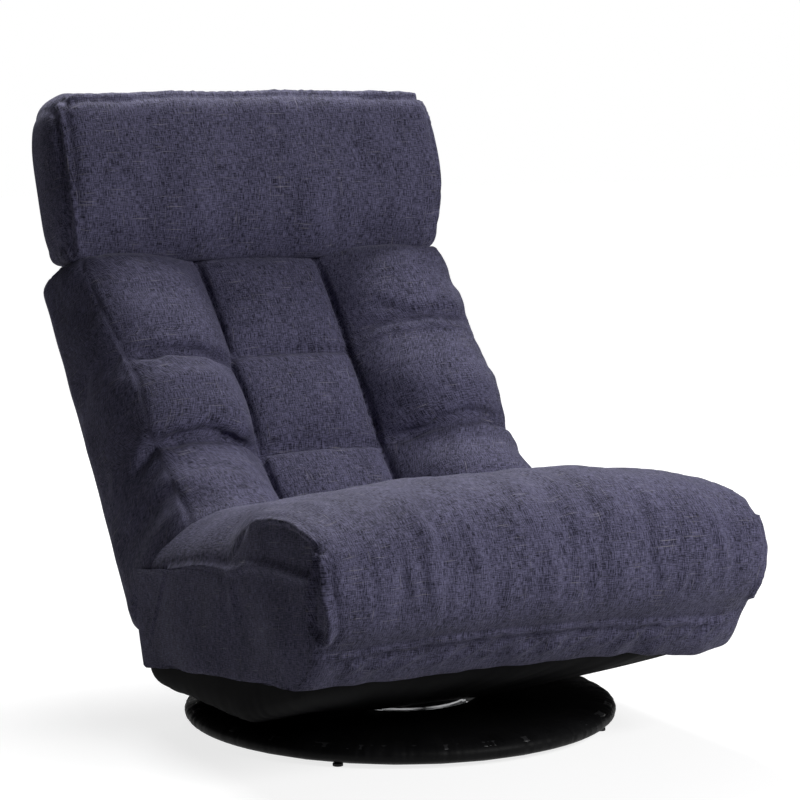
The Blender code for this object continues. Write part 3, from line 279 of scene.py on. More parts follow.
@dataclass(frozen=True)
class Linen:
    """The navy linen-look weave, with its light slubs. Counts and scales are per metre of cloth."""

    shade: Colour = (0.0080, 0.0076, 0.0170)
    yarn: Colour = (0.145, 0.138, 0.236)
    slub: Colour = (0.36, 0.34, 0.38)
    sheen_tint: Colour = (0.62, 0.62, 0.80)
    yarns: float = 860.0
    slub_yarns: float = 760.0
    slub_run: float = 26.0
    contrast: tuple[float, float] = (0.412, 0.588)

    def build(self) -> bpy.types.Material:
        """Makes the material.

        Returns:
            The linen.
        """
        m = NodeMaterial("navy_slub_linen")
        uv = m.coordinates(True)
        count = self.yarns
        weft = m.speckle(m.scaled(uv, 0.14 * count, 1.15 * count), 1.0, 2.0, 0.6)
        warp = m.speckle(m.scaled(uv, 1.15 * count, 0.12 * count), 1.0, 2.0, 0.6)
        fine = m.speckle(m.scaled(uv, 1.3 * count, 1.3 * count), 1.0, 1.0, 0.6)
        cloud = m.speckle(m.scaled(uv, 26.0, 11.0), 1.0, 4.0, 0.6)
        run, slubs = self.slub_run, self.slub_yarns
        cross_slub = m.speckle(m.scaled(uv, run, slubs), 1.0, 0.0, 0.4).over(0.735, 0.80)
        down_slub = m.speckle(m.scaled(uv, slubs, run), 1.0, 0.0, 0.4).over(0.755, 0.82)
        patches = m.speckle(m.scaled(uv, 34.0, 30.0), 1.0, 2.0, 0.5).over(0.36, 0.56)
        mixed = (0.36 * weft + 0.44 * warp + 0.20 * fine + 0.13 * (cloud - 0.5)).over(*self.contrast)
        base = m.blended(mixed, self.shade, self.yarn)
        shown = (cross_slub * patches * 0.44 + down_slub * patches * 0.36).clipped()
        height = 0.5 * weft + 0.5 * warp + 0.25 * cross_slub
        m.surface(
            Base_Color=m.blended(shown, base, self.slub), Roughness=0.88 - 0.10 * mixed,
            Sheen_Weight=0.16, Sheen_Roughness=0.45, Sheen_Tint=self.sheen_tint,
            Specular_IOR_Level=0.2, Normal=m.bump(height, 0.8, 0.0010),
        )
        return m.material


@dataclass(frozen=True)
class BlackCloth:
    """Thin black coated cloth with a slight gloss, as on the base and under the seat."""

    name: str
    roughness: float
    gloss: float
    colour: Colour = (0.0045, 0.0045, 0.0050)

    def build(self) -> bpy.types.Material:
        """Makes the material.

        Returns:
            The finish.
        """
        m = NodeMaterial(self.name)
        where = m.coordinates(False)
        grain = m.speckle(where, 900.0, 2.0, 0.5)
        cloud = m.speckle(where, 18.0, 3.0, 0.6)
        darker = tuple(0.6 * c for c in self.colour)
        lighter = tuple(1.5 * c for c in self.colour)
        m.surface(
            Base_Color=m.blended((0.5 * grain + 0.5 * cloud).over(0.35, 0.65), darker, lighter),
            Roughness=self.roughness + 0.16 * cloud, Specular_IOR_Level=self.gloss,
            Normal=m.bump(grain + 2.0 * cloud, 0.25, 0.0006),
        )
        return m.material


@dataclass(frozen=True)
class Metal:
    """Steel, painted or plated."""

    name: str
    colour: Colour
    roughness: float
    metallic: float
    coat: float = 0.0

    def build(self) -> bpy.types.Material:
        """Makes the material.

        Returns:
            The finish.
        """
        m = NodeMaterial(self.name)
        where = m.coordinates(False)
        fine = m.speckle(where, 700.0, 3.0, 0.6)
        cloud = m.speckle(where, 60.0, 4.0, 0.65)
        darker = tuple(0.78 * c for c in self.colour)
        lighter = tuple(min(1.18 * c, 1.0) for c in self.colour)
        m.surface(
            Base_Color=m.blended(cloud.over(0.3, 0.7), darker, lighter),
            Roughness=self.roughness + 0.18 * (fine - 0.5) + 0.10 * (cloud - 0.5),
            Metallic=self.metallic, Coat_Weight=self.coat, Normal=m.bump(fine, 0.15, 0.0002),
        )
        return m.material


# The cloth grids


@dataclass(frozen=True)
class Datum:
    """A leaning coordinate system on one of the chair's hinges."""

    origin: tuple[float, float, float]
    lean: float

    def world(self, points: Grid) -> Grid:
        """Points in the row frame.

        Args:
            points: Points in the datum: X across, Y to the rear, Z up along the part.

        Returns:
            The same points in the row frame.
        """
        c, s = math.cos(self.lean), math.sin(self.lean)
        x, y, z = points[..., 0], points[..., 1], points[..., 2]
        ox, oy, oz = self.origin
        return np.stack([x + ox, y * c + z * s + oy, z * c - y * s + oz], axis=-1)


SEAT = Datum(RECLINE_AXIS, SEAT_LEAN)
BACK = Datum(RECLINE_AXIS, BACK_LEAN)
HEAD = Datum(NECK_AXIS, HEAD_LEAN)


def smooth_curve(points: Sequence[tuple[float, float]], count: int) -> Grid:
    """A smooth open curve through points, sampled evenly along its length.

    Args:
        points: The points, two coordinates each.
        count: How many pieces the curve is divided into.

    Returns:
        count + 1 points.
    """
    p = np.array(points, float)
    p = np.vstack([2 * p[0] - p[1], p, 2 * p[-1] - p[-2]])
    t = np.linspace(0, 1, 24, endpoint=False)[:, None]
    runs = []
    for a, b, c, d in zip(p, p[1:], p[2:], p[3:]):
        square, cube = 2 * a - 5 * b + 4 * c - d, 3 * b - a - 3 * c + d
        runs.append(0.5 * (2 * b + (c - a) * t + square * t**2 + cube * t**3))
    line = np.vstack([*runs, p[-2:-1]])
    return evenly(line, count)


def along_line(line: Grid) -> Grid:
    """The distance along a line or round a ring to each of its points."""
    steps = np.linalg.norm(np.diff(line, axis=0), axis=1)
    return np.concatenate([[0], np.cumsum(steps)])


def evenly(line: Grid, count: int) -> Grid:
    """A polyline resampled at even steps of its length.

    Args:
        line: The points.
        count: How many steps.

    Returns:
        count + 1 points.
    """
    along = along_line(line)
    wanted = np.linspace(0, along[-1], count + 1)
    return np.stack([np.interp(wanted, along, line[:, k]) for k in range(line.shape[1])], axis=1)


def blend_through(value: Grid, table: Sequence[tuple[float, float]]) -> Grid:
    """A quantity read from a table, with eased steps between its rows.

    Args:
        value: Where it is read.
        table: (place, quantity) rows in rising order of place.

    Returns:
        The quantity at each place.
    """
    places = np.array([row[0] for row in table])
    amounts = np.array([row[1] for row in table])
    slopes = np.gradient(amounts, places)
    i = np.clip(np.searchsorted(places, value) - 1, 0, len(places) - 2)
    h = places[i + 1] - places[i]
    t = np.clip((value - places[i]) / h, 0, 1)
    return (
        (2 * t**3 - 3 * t**2 + 1) * amounts[i] + (t**3 - 2 * t**2 + t) * h * slopes[i]
        + (3 * t**2 - 2 * t**3) * amounts[i + 1] + (t**3 - t**2) * h * slopes[i + 1]
    )


def ramp(value: Grid, low: float, high: float) -> Grid:
    """A smooth step from 0 at low to 1 at high."""
    t = np.clip((value - low) / (high - low), 0, 1)
    return t * t * (3 - 2 * t)


class ClothGrid:
    """A closed pad: four sides round a ring at each station, and a patch over each end."""

    def __init__(self, stations: int, sides: tuple[int, int]) -> None:
        """Lays out the grid's vertices and faces.

        Args:
            stations: Steps from one end to the other.
            sides: Steps along the ring's first and third sides, and along its second and fourth.
        """
        self.stations = stations
        self.p, self.q = sides
        ring = 2 * (self.p + self.q)
        self.ring = ring
        loops = np.arange((stations + 1) * ring).reshape(stations + 1, ring)
        nxt = np.roll(loops, -1, axis=1)
        quads = np.stack([loops[:-1], nxt[:-1], nxt[1:], loops[1:]], axis=-1).reshape(-1, 4)
        first = (stations + 1) * ring
        inner = (self.p - 1) * (self.q - 1)
        near = self._patch(loops[0], first)
        far = self._patch(loops[-1], first + inner)[:, ::-1]
        self.faces = np.vstack([quads, near, far])

    def _patch(self, rim: Grid, first: int) -> Grid:
        """The faces over one end.

        Args:
            rim: The vertex numbers round the end.
            first: The first vertex number inside it.

        Returns:
            The faces, four numbers each.
        """
        p, q = self.p, self.q
        table = np.zeros((p + 1, q + 1), int)
        table[:, 0] = rim[: p + 1]
        table[p, :] = rim[p: p + q + 1]
        table[:, q] = rim[p + q: 2 * p + q + 1][::-1]
        table[0, :] = np.append(rim[2 * p + q:], rim[0])[::-1]
        table[1:-1, 1:-1] = first + np.arange((p - 1) * (q - 1)).reshape(p - 1, q - 1)
        around = [table[:-1, :-1], table[:-1, 1:], table[1:, 1:], table[1:, :-1]]
        return np.stack(around, axis=-1).reshape(-1, 4)

    def patch_points(self, rim: Grid) -> Grid:
        """The points inside one end, by a Coons patch over its rim.

        Args:
            rim: The rim's points.

        Returns:
            The inner points.
        """
        p, q = self.p, self.q
        low, right = rim[: p + 1], rim[p: p + q + 1]
        high, left = rim[p + q: 2 * p + q + 1][::-1], np.vstack([rim[2 * p + q:], rim[:1]])[::-1]
        u = np.linspace(0, 1, p + 1)[1:-1, None, None]
        v = np.linspace(0, 1, q + 1)[None, 1:-1, None]
        low, high = low[1:-1, None, :], high[1:-1, None, :]
        left, right = left[None, 1:-1, :], right[None, 1:-1, :]
        corners = (
            (1 - u) * (1 - v) * rim[0] + u * (1 - v) * rim[p] + u * v * rim[p + q]
            + (1 - u) * v * rim[2 * p + q]
        )
        points = (1 - v) * low + v * high + (1 - u) * left + u * right - corners
        return points.reshape(-1, rim.shape[1])

    def swell(self) -> Grid:
        """How far each inner point of an end stands from its rim, from 0 to 1."""
        u = np.linspace(0, 1, self.p + 1)[1:-1, None]
        v = np.linspace(0, 1, self.q + 1)[None, 1:-1]
        return (16 * u * (1 - u) * v * (1 - v)).reshape(-1) ** 0.5


class Pad:
    """One sewn pad in its datum's coordinates, with the tools that shape its cloth."""

    def __init__(
        self, name: str, grid: ClothGrid, points: Grid, cloth: Grid, datum: Datum,
        patch_axes: tuple[int, int] = (1, 2),
    ) -> None:
        """Keeps the pad's grid and places.

        Args:
            name: The piece's name.
            grid: The faces.
            points: The vertices in the datum's coordinates.
            cloth: Each vertex's place on the cloth, in metres.
            datum: The datum that the pad is drawn in.
            patch_axes: The two axes that the cloth over the grid's ends is laid out on.
        """
        self.name, self.grid, self.datum = name, grid, datum
        self.points, self.cloth = points, cloth
        self.patch_axes = list(patch_axes)

    def normals(self) -> Grid:
        """The outward normal at each vertex.

        Returns:
            One unit vector for each vertex.
        """
        p, f = self.points, self.grid.faces
        face = np.cross(p[f[:, 2]] - p[f[:, 0]], p[f[:, 3]] - p[f[:, 1]])
        out = np.zeros_like(p)
        for k in range(4):
            np.add.at(out, f[:, k], face)
        return out / np.maximum(np.linalg.norm(out, axis=1), 1e-12)[:, None]

    def push(self, amount: Grid) -> None:
        """Moves each vertex outwards by an amount in metres."""
        self.points = self.points + self.normals() * amount[:, None]

    def relax(self, rounds: int) -> None:
        """Smooths the whole pad a little.

        Args:
            rounds: How many times.
        """
        f = self.grid.faces
        for _ in range(rounds):
            total, count = np.zeros_like(self.points), np.zeros(len(self.points))
            for k in range(4):
                for j in (1, 3):
                    np.add.at(total, f[:, k], self.points[f[:, (k + j) % 4]])
                    np.add.at(count, f[:, k], 1)
            self.points += (total / count[:, None] - self.points) * RELAX_SHARE

    def line_distance(self, path: Sequence[Sequence[float]], mirror: bool) -> tuple[Grid, Grid]:
        """How far each vertex is from a line laid on the pad, and where along it.

        Args:
            path: Points near the pad's surface, in its datum. A smooth curve goes through them.
            mirror: Whether the same line on the other side counts too.

        Returns:
            The distance in metres, and the place from 0 to 1 along the line.
        """
        p = np.array(path, float)
        steps = max(24, int(np.linalg.norm(np.diff(p, axis=0), axis=1).sum() / LINE_STEP))
        flat = smooth_curve([(i, 0) for i in range(len(p))], steps)[:, 0]
        line = np.stack([np.interp(flat, range(len(p)), p[:, k]) for k in range(3)], axis=1)
        best = np.full(len(self.points), 1e9)
        where = np.zeros(len(self.points))
        for side in ((1, -1) if mirror else (1,)):
            marks = line * (side, 1, 1)
            near = np.array([np.argmin(((self.points - m) ** 2).sum(axis=1)) for m in marks])
            laid = self.points[near]
            columns = [np.pad(laid[:, k], 3, "edge") for k in range(3)]
            laid = np.stack([np.convolve(column, np.ones(7) / 7, "valid") for column in columns], 1)
            low_end, high_end = laid.min(0) - FOLD_REACH, laid.max(0) + FOLD_REACH
            ids = np.nonzero((self.points > low_end).all(1) & (self.points < high_end).all(1))[0]
            for start in range(0, len(ids), CHUNK):
                part = ids[start: start + CHUNK]
                gap = np.linalg.norm(self.points[part, None, :] - laid[None], axis=2)
                low, at = gap.min(axis=1), gap.argmin(axis=1) / (len(laid) - 1)
                closer = low < best[part]
                best[part[closer]], where[part[closer]] = low[closer], at[closer]
        return best, where

    def crease(
        self, path: Sequence[Sequence[float]], depth: float, width: float, lips: float = 0.25,
        mirror: bool = True, ends: float = 0.12,
    ) -> None:
        """Presses a fold into the cloth along a line, with a soft lip on each side.

        Args:
            path: Points near the surface.
            depth: How deep the fold is.
            width: Its half width.
            lips: How high the lips are, as a share of the depth.
            mirror: Whether the other side gets the same fold.
            ends: The share of the line over which the fold dies out at each end, 0 for none.
        """
        gap, where = self.line_distance(path, mirror)
        fade = np.ones_like(gap)
        if ends:
            fade = ramp(where, 0.0, ends) * ramp(1 - where, 0.0, ends)
        valley = np.exp(-((gap / width) ** 1.4))
        lip = np.exp(-(((gap - 2.4 * width) / (1.3 * width)) ** 2))
        self.push(fade * depth * (lips * lip - valley))

    def ripple(self, mask: Grid, stretch: Sequence[float], amount: float, seed: float) -> None:
        """Long soft folds or fine unevenness, by noise on the cloth's own coordinates.

        Args:
            mask: How strongly each vertex takes part.
            stretch: Waves per metre along the cloth's two directions.
            amount: The folds' height.
            seed: A number that picks the pattern.
        """
        chosen = np.nonzero(np.abs(mask) > 0.01)[0]
        add = np.zeros(len(self.points))
        u, v = self.cloth[chosen, 0] * stretch[0], self.cloth[chosen, 1] * stretch[1]
        add[chosen] = [noise.noise((a, b, seed)) for a, b in zip(u, v)]
        self.push(add * mask * amount)

    def finish(self, material: bpy.types.Material) -> bpy.types.Object:
        """Makes the Blender object in the row frame, with its cloth coordinates and finish.

        Args:
            material: The pad's finish.

        Returns:
            The object.
        """
        mesh = bpy.data.meshes.new(self.name)
        mesh.from_pydata(self.datum.world(self.points).tolist(), [], self.grid.faces.tolist())
        obj = bpy.data.objects.new(self.name, mesh)
        bpy.context.scene.collection.objects.link(obj)
        layer = mesh.uv_layers.new(name="cloth")
        corners = np.zeros(len(mesh.loops), np.int32)
        mesh.loops.foreach_get("vertex_index", corners)
        places = self.cloth[corners]
        patch = 4 * self.grid.stations * self.grid.ring
        places[patch:] = self.points[corners[patch:]][:, self.patch_axes]
        layer.data.foreach_set("uv", places.astype(np.float32).ravel())
        mesh.shade_smooth()
        mesh.materials.append(material)
        log.info("%s: %d faces", self.name, len(mesh.polygons))
        return obj


def rounded_stations(half: float, end_r: float, middle: int, end: int) -> tuple[Grid, Grid]:
    """Stations across a pad with rounded ends.

    Args:
        half: Half the pad's width.
        end_r: The radius of the rounding.
        middle: Steps over the plain middle.
        end: Steps over each rounded end.

    Returns:
        The stations, and how far round the end each one is, from 0 to 1.
    """
    turn = np.linspace(0, math.pi / 2, end + 1)
    edge = half - end_r + end_r * np.sin(turn)
    plain = np.linspace(-(half - end_r), half - end_r, middle + 1)
    places = np.concatenate([-edge[:0:-1], plain, edge[1:]])
    share = np.concatenate([np.sin(turn)[:0:-1], np.zeros(middle + 1), np.sin(turn)[1:]])
    return places, share


def four_sided_ring(lines: Sequence[Sequence[tuple[float, float]]], sides: tuple[int, int]) -> Grid:
    """A pad's outline in its middle, once round through underside, front, top and rear.

    Args:
        lines: The points of the four sides, Y and Z.
        sides: Steps along the first and third side, and along the second and fourth.

    Returns:
        The ring's points.
    """
    return np.vstack([smooth_curve(line, n)[:-1] for line, n in zip(lines, (*sides, *sides))])


def closed_pad(
    name: str, grid: ClothGrid, rows: list[tuple[Grid, float]], around: Grid,
    swells: tuple[float, float], datum: Datum,
) -> Pad:
    """A pad laid ring by ring from its left end to its right, with a swollen patch over each end.

    Args:
        name: The piece's name.
        grid: The pad's grid.
        rows: The points of each ring and its place across the cloth.
        around: The place of a ring's points along the cloth.
        swells: How far the left and the right end stand out in their middle.
        datum: The datum that the pad is drawn in.

    Returns:
        The pad.
    """
    rings = [ring for ring, _ in rows]
    cloth = [np.stack([np.full_like(around, x), around], axis=1) for _, x in rows]
    near, far = grid.patch_points(rings[0]), grid.patch_points(rings[-1])
    near[:, 0] -= swells[0] * grid.swell()
    far[:, 0] += swells[1] * grid.swell()
    cloth = np.vstack([*cloth, near[:, 1:], far[:, 1:]])
    return Pad(name, grid, np.vstack([*rings, near, far]), cloth, datum)


def upright(x: float, *pairs: tuple[float, float]) -> list[tuple[float, float, float]]:
    """Points of one upright plane, each given by its Y and Z."""
    return [(x, y, z) for y, z in pairs]


def ring_noise(c: Grid, s: Grid, radius: float, level: float) -> Grid:
    """Smooth noise read once round a circle, so that it closes on itself.

    Args:
        c: The cosine at each place of the circle.
        s: The sine there.
        radius: The circle's radius. A larger one gives finer noise.
        level: A number that picks the pattern.

    Returns:
        The noise at each place.
    """
    return np.array([noise.noise((radius * a, radius * b, level)) for a, b in zip(c, s)])


# The pads


@dataclass
class SeatPad:
    """The seat: a crowned roll in front, a flat top behind it, and a sewn panel down each side."""

    half_width: float = 0.279
    panel_top: tuple = (
        (0.0, 0.038), (0.050, 0.040), (0.102, 0.0445), (0.148, 0.0468), (0.195, 0.0508), (0.244, 0.0475),
        (0.284, 0.0430), (0.294, 0.0430), (0.330, 0.0489), (0.366, 0.0512), (0.60, 0.0512),
    )
    roll_corner: float = 0.013
    rear_corner: float = 0.085
    roll_start: float = -0.24
    roll_full: float = -0.375
    roll_drop: float = 0.005
    roll_droop: float = 0.028
    rear_droop: float = 0.012
    rear_tuck: float = 0.004
    corner_pull: float = 0.010
    end_pull: float = 0.008
    pull_middle: float = -0.27
    end_swells: tuple[float, float] = (0.006, 0.008)
    even_reach: float = 0.19
    under_lift: float = 0.010
    right_dip: float = 0.011
    dip_place: float = 0.225
    dip_width: float = 0.05
    bottom_line: tuple = (
        (0.000, -0.075), (-0.10, -0.073), (-0.20, -0.0755), (-0.34, -0.080), (-0.438, -0.085),
    )
    front_line: tuple = (
        (-0.438, -0.085), (-0.465, -0.066), (-0.488, -0.042), (-0.513, -0.022), (-0.529, 0.006),
        (-0.532, 0.036), (-0.523, 0.070), (-0.503, 0.096),
    )
    top_line: tuple = (
        (-0.503, 0.096), (-0.474, 0.115), (-0.430, 0.128), (-0.385, 0.132), (-0.330, 0.130),
        (-0.26, 0.124), (-0.18, 0.118), (-0.10, 0.114), (-0.04, 0.110), (0.004, 0.100),
    )
    rear_line: tuple = ((0.004, 0.100), (0.017, 0.070), (0.015, 0.020), (0.009, -0.030), (0.000, -0.074))

    def build(self) -> Pad:
        """Shapes the seat's cloth.

        Returns:
            The pad.
        """
        sides = (132, 56)
        grid = ClothGrid(148, sides)
        lines = (self.bottom_line, self.front_line, self.top_line, self.rear_line)
        middle = four_sided_ring(lines, sides)
        half = self.half_width
        even = self.even_reach
        edge = (half - even) * (1 - np.cos(np.linspace(0, math.pi / 2, 35)))
        places = np.concatenate([-half + edge[:-1], np.linspace(-even, even, 81), half - edge[::-1][1:]])
        y, z = middle[:, 0], middle[:, 1]
        rows = []
        in_roll = 1 - ramp(y, self.roll_full, self.roll_start)
        corner = self.rear_corner + (self.roll_corner - self.rear_corner) * in_roll
        over_panel = z - self.rear_droop - blend_through(-y, self.panel_top)
        drop = over_panel * (1 - in_roll) + self.roll_drop * in_roll
        sink = self.rear_droop + (self.roll_droop - self.rear_droop) * in_roll
        topside = ramp(z, 0.03, 0.085) * (1 - in_roll) + ramp(z, -0.02, 0.15) * in_roll
        for x in places:
            across = abs(x)
            bend = np.clip((across - (half - corner)) / corner, 0, 1)
            round_off = 1 - np.sqrt(np.maximum(1 - bend**2, 0.0))
            droop = sink * (across / half) ** 3.2 * topside
            pull = (self.corner_pull * round_off + self.end_pull * (across / half) ** 4) * in_roll
            new_z = z - drop * round_off * topside - droop
            new_y = y + pull * np.sign(self.pull_middle - y) * (1 - 0.35 * topside)
            lift = self.under_lift * ramp(half - across, 0.004, 0.03) * ramp(-z, 0.055, 0.07)
            dip = self.right_dip * math.exp(-(((x - self.dip_place) / self.dip_width) ** 2))
            new_z = new_z + lift * ramp(y, -0.44, -0.40)
            new_z = new_z - dip * ramp(-z, 0.05, 0.08) * ramp(-y, 0.38, 0.43)
            tuck = 1 - self.rear_tuck * ramp(new_y, -0.075, 0.0) / half
            rows.append((np.stack([x * tuck, new_y, new_z], axis=1), x))
        pad = closed_pad("seat_pad", grid, rows, along_line(middle), self.end_swells, SEAT)
        pad.relax(3)
        self.sew(pad)
        return pad

    def sew(self, pad: Pad) -> None:
        """Presses in the seat's seams and folds.

        Args:
            pad: The seat.
        """
        side = self.half_width
        p = pad.points
        across = np.abs(p[:, 0])
        roll = ramp(p[:, 2], -0.03, 0.02) * ramp(-p[:, 1], 0.20, 0.40)
        roll = roll * (1 - ramp(across, side - 0.035, side))
        lower = roll * ramp(-p[:, 1], 0.47, 0.515)
        low = ramp(-p[:, 1], 0.40, 0.46) * (1 - ramp(p[:, 2], -0.055, -0.035))
        top = ramp(p[:, 2], 0.06, 0.09) * (1 - roll)
        panel = ramp(across, side - 0.004, side + 0.002) * (1 - ramp(p[:, 2], 0.02, 0.05))
        for mask, stretch, amount, seed in (
            (roll, (44.0, 2.4), 0.0044, 3.1), (roll, (98.0, 5.0), 0.0020, 7.7),
            (lower, (72.0, 7.0), 0.0034, 2.9), (low, (40.0, 18.0), 0.0036, 1.3),
            (top, (9.0, 14.0), 0.0050, 6.1), (np.ones(len(p)), (9.0, 9.0), 0.0030, 5.5),
            (panel, (10.0, 16.0), 0.0060, 9.9),
        ):
            pad.ripple(mask, stretch, amount, seed)
        self.sew_panel(pad)
        self.sew_pleats(pad)
        for k, x in enumerate(np.linspace(-0.235, 0.215, 17)):
            shift, reach = 0.008 * math.sin(2.3 * k), 0.022 * math.sin(1.7 * k)
            fold = [
                (x + shift, -0.512, 0.084), (x + shift, -0.531, 0.040), (x, -0.529, 0.010 + reach),
                (x - shift, -0.512, -0.022),
            ]
            pad.crease(fold, 0.0016 + 0.0009 * (k % 3), 0.0042, 0.5, mirror=False, ends=0.45)
        seam = [
            (-0.268, -0.478, -0.054), (-0.20, -0.484, -0.048), (-0.149, -0.487, -0.0445),
            (-0.021, -0.489, -0.041), (0.06, -0.487, -0.046), (0.136, -0.484, -0.052),
            (0.20, -0.480, -0.057), (0.268, -0.475, -0.061),
        ]
        pad.crease(seam, 0.0034, 0.0030, 0.4, mirror=False, ends=0.02)
        for k, x in enumerate(np.linspace(-0.21, 0.25, 14)):
            lean = 0.030 + 0.008 * (k % 3)
            drag = [(x, -0.484, -0.052), (x - 0.5 * lean, -0.472, -0.064), (x - lean, -0.460, -0.076)]
            pad.crease(drag, 0.0034 + 0.0008 * (k % 2), 0.0045, 0.4, mirror=False, ends=0.45)

    def sew_panel(self, pad: Pad) -> None:
        """Presses in the seams round each side panel, with the cusp in its top edge.

        Args:
            pad: The seat.
        """
        side = self.half_width
        top = upright(
            side, (-0.102, 0.0445), (-0.148, 0.0468), (-0.195, 0.0508), (-0.244, 0.0475), (-0.289, 0.0435),
            (-0.330, 0.0489), (-0.366, 0.0512), (-0.411, 0.0481), (-0.449, 0.0408), (-0.489, 0.0357),
        )
        pad.crease(top, 0.0040, 0.0034, 0.10, ends=0.02)
        pad.crease(top[4:], 0.0028, 0.0040, 0.0, ends=0.04)
        notch = upright(side, (-0.272, 0.0450), (-0.289, 0.0425), (-0.306, 0.0450))
        pad.crease(notch, 0.0022, 0.0030, 0.0, ends=0.3)
        rear = upright(side, (-0.102, 0.0445), (-0.080, 0.021), (-0.0565, -0.0065), (-0.030, -0.035))
        pad.crease(rear, 0.0034, 0.0028, 0.10, ends=0.04)
        down = upright(side, (-0.290, 0.040), (-0.291, 0.018), (-0.287, -0.022))
        pad.crease(down, 0.0022, 0.007, 0.3, ends=0.5)

    def sew_pleats(self, pad: Pad) -> None:
        """Presses in the pleat at each end of the roll and the edge seam that runs back from it.

        Args:
            pad: The seat.
        """
        side = self.half_width
        for s, depth in ((-1, 0.0075), (1, 0.0040)):
            roll_side = upright(
                s * side, (-0.508, 0.066), (-0.5125, 0.036), (-0.5165, 0.006), (-0.5145, -0.0215),
                (-0.506, -0.047),
            )
            pad.crease(roll_side, depth, 0.0038, 0.25, mirror=False, ends=0.05)
            panel_side = upright(
                s * side, (-0.500, 0.066), (-0.4945, 0.0463), (-0.4847, 0.0252), (-0.4760, 0.0018),
                (-0.4715, -0.0163), (-0.488, -0.0327), (-0.503, -0.0460),
            )
            pad.crease(panel_side, depth, 0.0042, 0.25, mirror=False, ends=0.05)
            edge = [
                (s * (side - inward), y, z) for inward, y, z in (
                    (0.001, -0.504, 0.0720), (0.001, -0.4663, 0.0865), (0.001, -0.4434, 0.0941),
                    (0.002, -0.4243, 0.0976), (0.003, -0.3846, 0.0991), (0.004, -0.3557, 0.0939),
                    (0.004, -0.3365, 0.0875),
                )
            ]
            pad.crease(edge, 0.0036, 0.0028, 0.12, mirror=False, ends=0.12)


